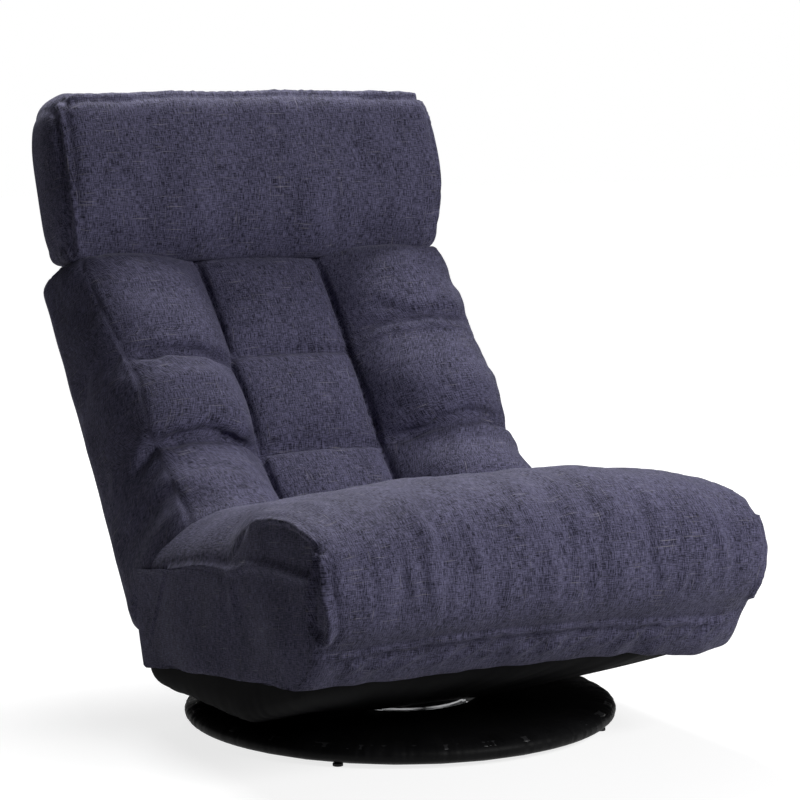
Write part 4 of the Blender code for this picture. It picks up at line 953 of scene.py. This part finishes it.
@dataclass
class BackPad:
    """The tufted back: three columns of pillows, sewn down in rows, from the seat's crease to the head."""

    half_width: float = 0.262
    side_width: float = 0.279
    rear: float = 0.058
    groove_x: float = 0.085
    crest_share: float = 0.60
    rows: tuple[float, float, float, float] = (0.030, 0.171, 0.3095, 0.462)
    left_mid: float = 0.293
    right_mid: float = 0.328
    grooves: tuple = ((0.0, 0.062), (0.103, 0.0538), (0.168, 0.0465), (0.3095, 0.0415), (0.452, 0.030))
    seams: tuple = (
        (-0.02, 0.150), (0.04, 0.136), (0.08, 0.122), (0.11, 0.113), (0.14, 0.1045), (0.17, 0.1005),
        (0.20, 0.104), (0.24, 0.101), (0.28, 0.092), (0.32, 0.084), (0.36, 0.079), (0.40, 0.071),
        (0.44, 0.064), (0.48, 0.056),
    )
    seam_places: tuple = (
        (-0.06, 0.250), (0.08, 0.243), (0.14, 0.243), (0.20, 0.2475), (0.24, 0.246), (0.28, 0.2445),
        (0.32, 0.248), (0.36, 0.254), (0.40, 0.256), (0.44, 0.258), (0.50, 0.254),
    )
    low_level: float = -0.024
    low_slope: float = 0.13
    high_level: float = 0.478
    high_slope: float = 0.16
    rounded_share: float = 0.055
    end_inset: tuple[float, float] = (0.026, 0.034)
    half_size: tuple[float, float] = (0.27, 0.085)
    crease_depth: float = 0.07
    belly_skew: float = 0.86
    belly_power: float = 0.62
    puff_power: float = 2.3
    crown_power: float = 2.2
    rise_power: float = 0.70
    fall_power: float = 2.5
    crest_over_seam: float = 0.025
    centre_crown: float = 0.027
    fold_sink: float = 0.023
    wall_push: float = 0.011
    sag: float = 0.012

    def half_at(self, z: Grid) -> Grid:
        """How far out the front side seam runs at each height."""
        return blend_through(z, self.seam_places)

    def row_share(self, z: Grid, first: float, mid: Union[Grid, float]) -> Grid:
        """How far up its own row each height is, from 0 to 1.

        Args:
            z: Heights up the back.
            first: Where the lowest row starts.
            mid: Where the middle fold runs.

        Returns:
            The share at each height.
        """
        _, low, _, high = self.rows
        start = np.where(z < low, first, np.where(z < mid, low, mid))
        end = np.where(z < low, low, np.where(z < mid, mid, high))
        return np.clip((z - start) / (end - start), 0, 1)

    def pillow(self, x: Grid, z: Grid) -> tuple[Grid, Grid]:
        """Where each point of a side column stands in its own pillow.

        Args:
            x: Places across.
            z: Heights up the back.

        Returns:
            The share of the pillow's height, and how full the pillow is there.
        """
        own_mid = np.where(x < 0, self.left_mid, self.right_mid)
        share = self.row_share(z, self.rows[0] - self.crease_depth, own_mid)
        return share, np.sin(math.pi * share**self.belly_skew) ** self.belly_power

    def front(self, x: Grid, z: Grid) -> Grid:
        """How far the padded front stands out from the frame's plane.

        Args:
            x: Places across.
            z: Heights up the back.

        Returns:
            The depth at each place.
        """
        across = np.abs(x)
        half = self.half_at(z)
        groove = np.interp(z, [g[0] for g in self.grooves], [g[1] for g in self.grooves])
        seam = blend_through(z, self.seams)
        first, _, mid, high = self.rows
        share = self.row_share(z, first, mid)
        puff = np.maximum(1 - np.abs(2 * share - 1) ** self.puff_power, 0.0) ** 0.7
        crown = np.sqrt(np.maximum(1 - (across / self.groove_x) ** self.crown_power, 0))
        centre = groove + self.centre_crown * crown * (0.22 + 0.78 * puff)
        t = np.clip((across - self.groove_x) / (half - self.groove_x), 0, 1)
        _, belly = self.pillow(x, z)
        crest = seam + self.crest_over_seam
        depth = np.where(z > mid, 0.55 + 0.45 * ramp(z, high - 0.06, high), 1.0)
        sink = self.fold_sink * depth * (1 - belly) * np.sin(math.pi * t**0.8) ** 0.5
        rise = np.sin(0.5 * math.pi * np.clip(t / self.crest_share, 0, 1)) ** self.rise_power
        inner = groove + (crest - groove) * rise
        fall = np.clip((t - self.crest_share) / (1 - self.crest_share), 0, 1)
        outer = crest + (seam - crest) * fall**self.fall_power
        column = np.where(t < self.crest_share, inner, outer) - sink
        return np.where(across < self.groove_x, centre, column)

    def low_edge(self, y: Grid) -> Grid:
        """The height of the pad's lower end at each depth."""
        return self.low_level + np.clip(self.rear - y, 0, 0.3) * self.low_slope

    def high_edge(self, y: Grid) -> Grid:
        """The height of the pad's upper end at each depth."""
        return self.high_level + y * self.high_slope

    def on_front(self, x: float, z: float) -> tuple[float, float, float]:
        """The point of the padded front at a place across and a height."""
        return x, -float(self.front(np.array([x]), np.array([z]))[0]), z

    def ring(self, v: float, counts: tuple[int, int]) -> Grid:
        """One ring of cloth at a share of the pad's height.

        Args:
            v: From 0 at the lower end to 1 at the upper.
            counts: Steps across the front and the rear, and down each side.

        Returns:
            The ring's points, X, Y and Z.
        """
        wide, deep = counts
        level = self.low_edge(0.0) + v * (self.high_edge(0.0) - self.low_edge(0.0))
        half = float(self.half_at(np.array([level]))[0])
        z = np.full(500, level)
        x = np.linspace(-half, half, 500)
        for _ in range(3):
            y = -self.front(x, z)
            z = self.low_edge(y) + v * (self.high_edge(y) - self.low_edge(y))
        front = evenly(np.stack([x, y, z], axis=1), wide)
        seam_y = front[-1, 1]
        bulge = self.side_width - half
        reach = self.rear - 0.012 - seam_y
        outer, rear_y = self.side_width, self.rear
        side_line = [
            (half, seam_y), (half + bulge * 0.42, seam_y + 0.14 * reach),
            (half + bulge * 0.80, seam_y + 0.38 * reach), (outer - 0.001, seam_y + 0.66 * reach),
            (outer - 0.001, seam_y + 0.86 * reach), (outer - 0.012, rear_y - 0.006),
        ]
        side = smooth_curve(side_line, deep)
        rear_line = [
            (outer - 0.012, rear_y - 0.006), (outer - 0.030, rear_y), (0.12, rear_y + 0.003),
            (-0.12, rear_y + 0.003), (-outer + 0.030, rear_y), (-outer + 0.012, rear_y - 0.006),
        ]
        rear = smooth_curve(rear_line, wide)
        flat = np.vstack([side[:-1], rear[:-1], (side * (-1, 1))[::-1][:-1]])
        height = self.low_edge(flat[:, 1]) + v * (self.high_edge(flat[:, 1]) - self.low_edge(flat[:, 1]))
        return np.vstack([front[:-1], np.column_stack([flat, height])])

    def build(self) -> Pad:
        """Shapes the back's cloth.

        Returns:
            The pad.
        """
        wide, deep, tall = 144, 40, 132
        grid = ClothGrid(tall, (wide, deep))
        rings, cloth = [], []
        shares = np.linspace(0, 1, tall + 1)
        span = self.high_edge(0.0) - self.low_edge(0.0)
        for v in shares:
            ring = self.ring(v, (wide, deep))
            bend = np.clip(1 - np.array([v, 1 - v]) / self.rounded_share, 0, 1)
            ends = 1 - np.sqrt(np.maximum(1 - bend**2, 0))
            middle = np.array([0, -0.01, 0])
            inset = [1 - by * ends.max() / size for by, size in zip(self.end_inset, self.half_size)]
            ring = middle + (ring - middle) * (*inset, 1)
            rings.append(ring)
            around = along_line(ring)
            cloth.append(np.stack([around - around[wide // 2], np.full(len(ring), v * span)], axis=1))
        near, far = grid.patch_points(rings[0]), grid.patch_points(rings[-1])
        points = np.vstack([*rings, near, far])
        cloth = np.vstack([*cloth, near[:, :2], far[:, :2]])
        pad = Pad("back_pad", grid, points, cloth, BACK, (0, 1))
        self.fill(pad)
        self.sew(pad)
        return pad

    def fill(self, pad: Pad) -> None:
        """Lets each pillow of the side columns press inwards and hang over the fold below it.

        Args:
            pad: The back.
        """
        p = pad.points
        x, y, z = p[:, 0], p[:, 1], p[:, 2]
        across = np.abs(x)
        t = np.clip((across - self.groove_x) / (self.half_width - self.groove_x), 0, 1)
        share, belly = self.pillow(x, z)
        proud = ramp(-y, 0.03, 0.075)
        inner = np.sin(math.pi * np.clip(t / 0.62, 0, 1)) * (across > self.groove_x)
        body = np.sin(math.pi * t**0.7) ** 0.6 * (across > self.groove_x)
        hang = np.exp(-(((share - 0.12) / 0.16) ** 2)) * body * proud
        inside = (z > self.rows[1] - 0.001) * (z < self.rows[3])
        p[:, 0] -= np.sign(x) * self.wall_push * (belly - 0.35) * inner * proud
        p[:, 2] -= self.sag * hang * inside

    def sew(self, pad: Pad) -> None:
        """Presses in the tufting, the row folds and the side seams.

        Args:
            pad: The back.
        """
        _, low, mid, _ = self.rows
        g, w = self.groove_x, self.half_width
        at = self.on_front
        pad.relax(2)
        groove = [at(g, z) for z in np.linspace(0.02, 0.468, 14)]
        pad.crease(groove, 0.0060, 0.0040, 0.10, ends=0.0)
        for z in (low - 0.002, mid):
            row = [at(x, z) for x in np.linspace(-g, g, 9)]
            pad.crease(row, 0.0055, 0.0048, 0.20, mirror=False, ends=0.0)
        for s, own_mid in ((-1, self.left_mid), (1, self.right_mid)):
            fold = [at(s * x, low - 0.006 + 0.010 * math.sin(math.pi * (x - g) / (w - g)))
                    for x in np.linspace(g, w - 0.004, 10)]
            fold += [(s * (w + 0.010), -0.085, low - 0.016), (s * (w + 0.015), -0.050, low - 0.026)]
            pad.crease(fold, 0.0125, 0.0066, 0.15, mirror=False, ends=0.16)
            upper = [at(s * x, own_mid + 0.002) for x in np.linspace(g + 0.004, w - 0.004, 9)]
            pad.crease(upper, 0.0075, 0.0065, 0.20, mirror=False, ends=0.25)
            places = np.linspace(0.115, 0.175, 5)
            slant = [at(s * x, own_mid + 0.004 + 0.5 * (0.165 - x) * s) for x in places]
            pad.crease(slant, 0.0055, 0.0065, 0.30, mirror=False, ends=0.35)
        pad.relax(3)
        for z in (low - 0.002, mid):
            row = [at(x, z) for x in np.linspace(-g, g, 9)]
            pad.crease(row, 0.0030, 0.0026, 0.2, mirror=False, ends=0.0)
        pad.crease(groove, 0.0055, 0.0026, 0.1, ends=0.0)
        heights = np.linspace(0.0, 0.462, 16)
        depths = 0.002 - blend_through(heights, self.seams)
        seam = list(zip(self.half_at(heights), depths, heights))
        pad.crease(seam, 0.0024, 0.0024, 0.1, ends=0.0)
        p = pad.points
        sides = ramp(np.abs(p[:, 0]), g, g + 0.05) * (1 - ramp(p[:, 1], -0.02, 0.03))
        _, belly = self.pillow(p[:, 0], p[:, 2])
        near_fold = sides * (1 - belly) * (p[:, 2] < 0.45)
        neck = sides * ramp(p[:, 2], 0.425, 0.465) * ramp(np.abs(p[:, 0]), 0.18, 0.22)
        flank = ramp(np.abs(p[:, 0]), w - 0.002, w + 0.008) * (1 - ramp(p[:, 1], 0.02, 0.05))
        for mask, stretch, amount, seed in (
            (sides, (7.0, 22.0), 0.0048, 2.2), (sides, (16.0, 48.0), 0.0020, 4.4),
            (near_fold, (46.0, 12.0), 0.0046, 5.8), (neck, (60.0, 30.0), 0.0050, 1.9),
            (flank, (9.0, 16.0), 0.0062, 8.1), (np.ones(len(p)), (8.0, 8.0), 0.0022, 6.6),
        ):
            pad.ripple(mask, stretch, amount, seed)


@dataclass
class HeadPad:
    """The head pad: a deep pillow with a seam along its upper front edge and round each end."""

    half_width: float = 0.266
    end_radius: float = 0.026
    end_swells: tuple[float, float] = (0.015, 0.015)
    middle: tuple[float, float] = (-0.024, 0.105)
    half_depth: float = 0.058
    half_height: float = 0.112
    hollow_depth: float = 0.0085
    bottom_line: tuple = ((0.034, 0.010), (0.0, 0.005), (-0.022, 0.001), (-0.038, -0.002))
    front_line: tuple = (
        (-0.038, -0.002), (-0.047, 0.004), (-0.060, 0.020), (-0.0745, 0.043), (-0.0855, 0.071),
        (-0.0900, 0.100), (-0.0912, 0.132), (-0.0905, 0.162), (-0.0865, 0.190), (-0.075, 0.2105),
    )
    top_line: tuple = (
        (-0.075, 0.2105), (-0.050, 0.2215), (-0.0031, 0.2266), (0.0200, 0.2215), (0.033, 0.205),
    )
    rear_line: tuple = ((0.033, 0.205), (0.0385, 0.170), (0.0390, 0.110), (0.0385, 0.050), (0.034, 0.010))

    def build(self) -> Pad:
        """Shapes the head's cloth.

        Returns:
            The pad.
        """
        sides = (26, 54)
        grid = ClothGrid(126, sides)
        lines = (self.bottom_line, self.front_line, self.top_line, self.rear_line)
        outline = four_sided_ring(lines, sides)
        places, share = rounded_stations(self.half_width, self.end_radius, 98, 14)
        centre = np.array(self.middle)
        rows = []
        for x, s in zip(places, share):
            inset = self.end_radius * (1 - math.sqrt(max(1 - s * s, 0.0)))
            shrunk = (1 - 0.62 * inset / self.half_depth, 1 - 0.85 * inset / self.half_height)
            flat = centre + (outline - centre) * shrunk
            crown = 1 - (abs(x) / self.half_width) ** 2
            flat[:, 0] -= 0.004 * crown * ramp(-flat[:, 0], 0.03, 0.07) * ramp(flat[:, 1], 0.0, 0.05)
            rows.append((np.column_stack([np.full(len(flat), x), flat]), x))
        pad = closed_pad("head_pad", grid, rows, along_line(outline), self.end_swells, HEAD)
        self.sew(pad)
        return pad

    def sew(self, pad: Pad) -> None:
        """Presses in the head's seams, its two soft hollows and the bunched cloth at its lower ends.

        Args:
            pad: The head pad.
        """
        w = self.half_width
        p = pad.points
        pad.relax(4)
        front = 1 - ramp(p[:, 1], -0.06, -0.03)
        for x, low in ((-0.095, 0.06), (0.075, 0.05)):
            hollow = np.exp(-(((p[:, 0] - x) / 0.030) ** 2) - (((p[:, 2] - low) / 0.085) ** 2))
            pad.push(-self.hollow_depth * hollow * front)
        top_seam = [(x, -0.075, 0.2110) for x in np.linspace(-w + 0.014, w - 0.014, 9)]
        pad.crease(top_seam, 0.0034, 0.0034, 0.6, mirror=False, ends=0.0)
        side_seam = [(w - 0.004, -0.066, 0.204), (w, -0.080, 0.165), (w, -0.078, 0.10),
                     (w, -0.074, 0.04), (w - 0.006, -0.060, 0.002)]
        pad.crease(side_seam, 0.0032, 0.0034, 0.5, ends=0.0)
        pucker = ramp(p[:, 2], 0.175, 0.207) * (1 - ramp(p[:, 1], -0.05, -0.02))
        bunch = (1 - ramp(p[:, 2], 0.0, 0.05)) * ramp(np.abs(p[:, 0]), w - 0.07, w - 0.02)
        ends = ramp(np.abs(p[:, 0]), w - 0.006, w + 0.004)
        for mask, stretch, amount, seed in (
            (front, (9.0, 6.0), 0.0042, 9.2), (pucker, (120.0, 14.0), 0.0016, 3.3),
            (bunch, (60.0, 26.0), 0.0055, 4.6), (ends, (16.0, 12.0), 0.0045, 8.4),
            (np.ones(len(p)), (10.0, 10.0), 0.0024, 7.1),
        ):
            pad.ripple(mask, stretch, amount, seed)


# The black cloth pieces


def deselect() -> None:
    """Leaves nothing selected or active."""
    if bpy.context.object and bpy.context.object.mode != "OBJECT":
        bpy.ops.object.mode_set(mode="OBJECT")
    bpy.ops.object.select_all(action="DESELECT")


def sheet_object(
    name: str, points: Grid, faces: Grid, wall: float, material: bpy.types.Material
) -> bpy.types.Object:
    """A cloth shell: a grid given its thickness with a Solidify modifier, applied.

    Args:
        name: The piece's name.
        points: The outer face's vertices in the row frame.
        faces: Its faces.
        wall: The thickness, inwards.
        material: The finish.

    Returns:
        The object.
    """
    mesh = bpy.data.meshes.new(name)
    mesh.from_pydata(points.tolist(), [], faces.tolist())
    obj = bpy.data.objects.new(name, mesh)
    bpy.context.scene.collection.objects.link(obj)
    deselect()
    obj.select_set(True)
    bpy.context.view_layer.objects.active = obj
    bpy.ops.object.mode_set(mode="EDIT")
    bpy.ops.mesh.select_all(action="SELECT")
    bpy.ops.mesh.remove_doubles(threshold=SAME_PLACE)
    bpy.ops.object.mode_set(mode="OBJECT")
    shell = obj.modifiers.new("wall", "SOLIDIFY")
    shell.thickness, shell.offset = wall, -1.0
    bpy.ops.object.modifier_apply(modifier=shell.name)
    mesh.shade_smooth()
    mesh.materials.append(material)
    obj.select_set(False)
    return obj


def superellipse(c: Grid, s: Grid, power: Union[Grid, float]) -> Grid:
    """How much further out than a circle a squarish ring of unit size runs.

    Args:
        c: The cosine at each place of the circle.
        s: The sine there.
        power: 2 for a circle, more for a squarer ring.

    Returns:
        The factor at each place.
    """
    return (np.abs(c) ** power + np.abs(s) ** power) ** (-1 / power)


@dataclass
class BaseCover:
    """The black cloth over the base ring: a low dome whose edge is gathered under the rim."""

    wall: float = 0.0010
    around: int = 720
    fold_height: float = 0.0009
    fine_height: float = 0.0007
    rim_level: float = 0.022
    profile: tuple = (
        (0.092, 0.0284), (0.13, 0.0283), (0.17, 0.0281), (0.20, 0.0280), (0.222, 0.0277),
        (0.238, 0.0270), (0.250, 0.0246), (0.2578, 0.0200), (0.2602, 0.0148), (0.2588, 0.0096),
        (0.2545, 0.0060), (0.2480, 0.0040),
    )

    def build(self, material: bpy.types.Material) -> bpy.types.Object:
        """Makes the cover.

        Args:
            material: The black cloth.

        Returns:
            The cover.
        """
        line = smooth_curve(self.profile, 64)
        turn = np.linspace(0, math.tau, self.around, endpoint=False)
        c, s = np.cos(turn), np.sin(turn)
        r, z = line[:, 0][:, None], line[:, 1][:, None]
        out = ramp(r, 0.175, 0.245)
        under = 1 - ramp(z, 0.006, 0.014)
        folds = (ring_noise(c, s, 9.5, 0.3) + 0.7 * ring_noise(c, s, 26.0, 4.1))[None, :]
        fine = ring_noise(c, s, 60.0, 8.8)[None, :]
        rise = self.fold_height * out * (1 - 0.5 * under) * folds
        rise = rise + self.fine_height * ramp(r, 0.215, 0.252) * fine
        radius = r + np.where(z < self.rim_level, rise, 0.35 * rise)
        height = z + np.where(z < self.rim_level, 0.3 * rise, rise)
        x, y = radius * c + SWIVEL_AXIS[0], radius * s + SWIVEL_AXIS[1]
        points = np.stack([x, y, np.broadcast_to(height, x.shape)], axis=-1).reshape(-1, 3)
        ids = np.arange(x.size).reshape(x.shape)
        nxt = np.roll(ids, -1, axis=1)
        faces = np.stack([ids[:-1], ids[1:], nxt[1:], nxt[:-1]], axis=-1).reshape(-1, 4)
        return sheet_object("gathered_base_cover", points, faces, self.wall, material)


@dataclass
class DustCover:
    """The black cloth bowl that closes the seat from below, slack between its rim and the base."""

    half_x: float = 0.2765
    front: float = 0.442
    rear: float = -0.002
    rim_height: float = -0.0715
    hole_x: float = 0.128
    hole_y: float = 0.074
    rim_power: float = 9.0
    rear_power: float = 20.0
    hole_power: float = 4.6
    bottom: float = 0.0314
    wall: float = 0.0012
    taut_share: float = 0.22
    slack_share: float = 0.78
    wave_height: float = 0.0042
    drops: tuple = (
        (0.0, 0.0), (0.012, 0.22), (0.04, 0.46), (0.09, 0.67), (0.18, 0.82), (0.34, 0.92),
        (0.56, 0.975), (0.78, 0.995), (1.0, 1.0),
    )

    def build(self, material: bpy.types.Material) -> bpy.types.Object:
        """Makes the bowl.

        Args:
            material: The black cloth.

        Returns:
            The bowl.
        """
        middle_y, half_y = (self.front + self.rear) / 2, (self.front - self.rear) / 2
        curve = smooth_curve(self.drops, 40)
        turn = np.linspace(0, math.tau, 320, endpoint=False)
        c, s = np.cos(turn), np.sin(turn)
        power = np.where(s > 0, self.rear_power, self.rim_power)
        wide = superellipse(c, s, power)
        tight = superellipse(c, s, self.hole_power)
        flat, low = np.full_like(c, self.rim_height), np.full_like(c, self.bottom)
        rim = SEAT.world(np.stack([self.half_x * c * wide, -middle_y + half_y * s * wide, flat], axis=1))
        hole_y = SWIVEL_AXIS[1] + self.hole_y * s * tight
        hole = np.stack([self.hole_x * c * tight, hole_y, low], axis=1)
        hanging = self.taut_share + self.slack_share * ramp(-c + 0.7 * s, 0.0, 1.0)
        rings = []
        for inward, drop in curve:
            ring = rim + (hole - rim) * inward
            depth = inward + (drop - inward) * hanging
            ring[:, 2] = rim[:, 2] + (self.bottom - rim[:, 2]) * depth
            rings.append(ring)
        points = np.array(rings)
        slack = np.sin(math.pi * np.linspace(0, 1, len(rings)))[:, None]
        waves = ring_noise(c, s, 3.4, 2.0) + 0.5 * ring_noise(c, s, 9.0, 5.0)
        waves = waves + 0.3 * ring_noise(c, s, 24.0, 7.0)
        points[:, :, 2] += self.wave_height * slack * waves[None, :]
        ids = np.arange(points.shape[0] * points.shape[1]).reshape(points.shape[:2])
        nxt = np.roll(ids, -1, axis=1)
        faces = np.stack([ids[1:], nxt[1:], nxt[:-1], ids[:-1]], axis=-1).reshape(-1, 4)
        places = points.reshape(-1, 3)
        return sheet_object("seat_underside_bowl", places, faces, self.wall, material)


# The studio


def facing(way: Vector) -> Euler:
    """The turn that points a lamp or the camera along a direction."""
    return way.to_track_quat("-Z", "Y").to_euler()


@dataclass(frozen=True)
class Lamp:
    """A square soft lamp: where it stands, what it points at, its width and its power in watts."""

    name: str
    place: tuple[float, float, float]
    aim: tuple[float, float, float]
    size: float
    power: float

    def build(self) -> None:
        """Adds the lamp to the scene."""
        light = bpy.data.lights.new(self.name, "AREA")
        light.shape, light.size, light.energy = "SQUARE", self.size, self.power
        holder = bpy.data.objects.new(self.name, light)
        bpy.context.scene.collection.objects.link(holder)
        holder.location = self.place
        holder.rotation_euler = facing(Vector(self.aim) - Vector(self.place))


LAMPS = (
    Lamp("front_key", (0.8, -1.9, 1.35), (0.0, -0.1, 0.3), 0.9, 33.0),
    Lamp("top_key", (0.3, 1.1, 2.3), (0.0, -0.15, 0.3), 0.9, 56.0),
    Lamp("front_fill", (-0.3, -3.2, 1.0), (0.0, 0.0, 0.35), 1.6, 2.0),
    Lamp("rear_fill", (0.8, 2.6, 1.4), (0.0, 0.1, 0.4), 1.4, 12.0),
)


@dataclass
class Studio:
    """The pale floor, the lamps and the camera at the photograph's place."""

    camera_place: tuple = (-1.58361, -2.99050, 0.79365)
    camera_aim: tuple = (0.473595, 0.872254, -0.121989)
    lens: float = 126.0
    sensor: float = 36.0
    near_clip: float = 0.05
    ambient: float = 0.022
    floor_size: float = 24.0
    floor_colour: Colour = (0.38, 0.38, 0.38)
    near_glow: float = 0.78
    far_glow: float = 1.0
    glow_run: tuple[float, float] = (0.5, 2.4)

    def build(self) -> None:
        """Builds the floor, the world, the lamps and the camera."""
        self.floor()
        self.world()
        for lamp in LAMPS:
            lamp.build()
        camera = bpy.data.cameras.new("camera")
        camera.lens, camera.sensor_width, camera.clip_start = self.lens, self.sensor, self.near_clip
        holder = bpy.data.objects.new("camera", camera)
        bpy.context.scene.collection.objects.link(holder)
        holder.location = self.camera_place
        holder.rotation_euler = facing(Vector(self.camera_aim))
        bpy.context.scene.camera = holder
        bpy.context.scene.view_settings.view_transform = "Standard"

    def floor(self) -> None:
        """Lays the pale floor, which the camera and glossy rays see as white round its shadow."""
        deselect()
        bpy.ops.mesh.primitive_plane_add(size=self.floor_size, location=(0, 0, 0))
        plane = bpy.context.object
        plane.name = "floor"
        m = NodeMaterial("pale_floor")
        where = m.coordinates(False)
        away = m.node("ShaderNodeVectorMath", {"operation": "LENGTH"}, {0: where}, "Value")
        camera_ray, glossy_ray, clear_ray = (
            m.node("ShaderNodeLightPath", {}, {}, kind)
            for kind in ("Is Camera Ray", "Is Glossy Ray", "Is Transmission Ray")
        )
        seen = (camera_ray + glossy_ray + clear_ray).clipped()
        glow = away.over(*self.glow_run) * (self.far_glow - self.near_glow) + self.near_glow
        m.surface(
            Base_Color=self.floor_colour, Roughness=0.9, Specular_IOR_Level=0.0,
            Emission_Color=m.blended(seen * glow, (0.0, 0.0, 0.0), (1.0, 1.0, 1.0)), Emission_Strength=1.0,
        )
        plane.data.materials.append(m.material)
        plane.select_set(False)

    def world(self) -> None:
        """Sets the soft surrounding light, which camera and transmission rays see as white."""
        world = bpy.data.worlds.new("studio")
        world.use_nodes = True
        bpy.context.scene.world = world
        tree = world.node_tree
        background = next(n for n in tree.nodes if n.type == "BACKGROUND")
        background.inputs["Color"].default_value = (1.0, 1.0, 1.0, 1.0)
        path = tree.nodes.new("ShaderNodeLightPath")
        seen = tree.nodes.new("ShaderNodeMath")
        seen.operation = "MAXIMUM"
        tree.links.new(path.outputs["Is Camera Ray"], seen.inputs[0])
        tree.links.new(path.outputs["Is Transmission Ray"], seen.inputs[1])
        level = tree.nodes.new("ShaderNodeMapRange")
        level.inputs["To Min"].default_value = self.ambient
        level.inputs["To Max"].default_value = 1.0
        tree.links.new(seen.outputs[0], level.inputs["Value"])
        tree.links.new(level.outputs[0], background.inputs["Strength"])


# The chair


@dataclass
class FloorChair:
    """The whole chair: its pads, black cloth and metalwork; all but the back and head pads are tied to a
    body.
    """

    frame: dict

    def build(self) -> None:
        """Builds and dresses every piece."""
        linen = Linen().build()
        seat = SeatPad().build().finish(linen)
        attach(seat, "seat")
        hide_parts("seat_cushion", "seat_rear_cushion")
        back = BackPad().build().finish(linen)
        self.point(BACK, -0.02, 0.02)
        self.point(BACK, -0.02, 0.17)
        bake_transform(back)
        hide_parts("back_cushion", "lumbar_cushion", "back_rear_cover")
        head = HeadPad().build().finish(linen)
        self.point(HEAD, -0.03, -0.01)
        self.point(HEAD, -0.03, 0.07)
        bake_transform(head)
        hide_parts("head_cushion", "head_rear_cover")
        base = BaseCover().build(BlackCloth("black_base_cloth", roughness=0.46, gloss=0.09).build())
        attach(base, "base")
        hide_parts("base_cover")
        bowl = DustCover().build(BlackCloth("black_underside_cloth", roughness=0.80, gloss=0.06).build())
        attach(bowl, "seat")
        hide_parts("seat_dust_cover")
        self.dress_metal()

    def point(self, datum: Datum, y: float, z: float) -> tuple[float, float, float]:
        """A point in the middle plane of a datum, in the row frame."""
        return tuple(float(v) for v in datum.world(np.array([0.0, y, z])))

    def dress_metal(self) -> None:
        """Gives every carried-over node its finish, by its slot in the record."""
        metals = {
            Slot.FRAME_TUBE: Metal("black_powder_coat_tube", (0.022, 0.022, 0.024), 0.42, 0.0, 0.15),
            Slot.PAINTED: Metal("black_powder_coat_plate", (0.026, 0.026, 0.028), 0.46, 0.0, 0.10),
            Slot.ZINC: Metal("zinc_plate", (0.52, 0.53, 0.54), 0.30, 1.0),
            Slot.BALLS: Metal("ball_steel", (0.60, 0.60, 0.61), 0.16, 1.0),
            Slot.RUBBER: Metal("foot_rubber", (0.014, 0.014, 0.014), 0.80, 0.0),
        }
        finishes = {slot.value: metal.build() for slot, metal in metals.items()}
        slots = {part["node"]: part["material_slot"] for part in self.frame["record"]["subparts"]}
        for name, obj in self.frame["nodes"].items():
            if obj.hide_render:
                continue
            finish = finishes.get(slots.get(name))
            if finish is None:
                log.warning("%s has no finish, slot %s", name, slots.get(name))
                continue
            obj.data.materials.clear()
            obj.data.materials.append(finish)


def main() -> None:
    logging.basicConfig(level=logging.INFO, format="%(name)s: %(message)s")
    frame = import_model()
    FloorChair(frame).build()
    Studio().build()


if __name__ == "__main__":
    main()
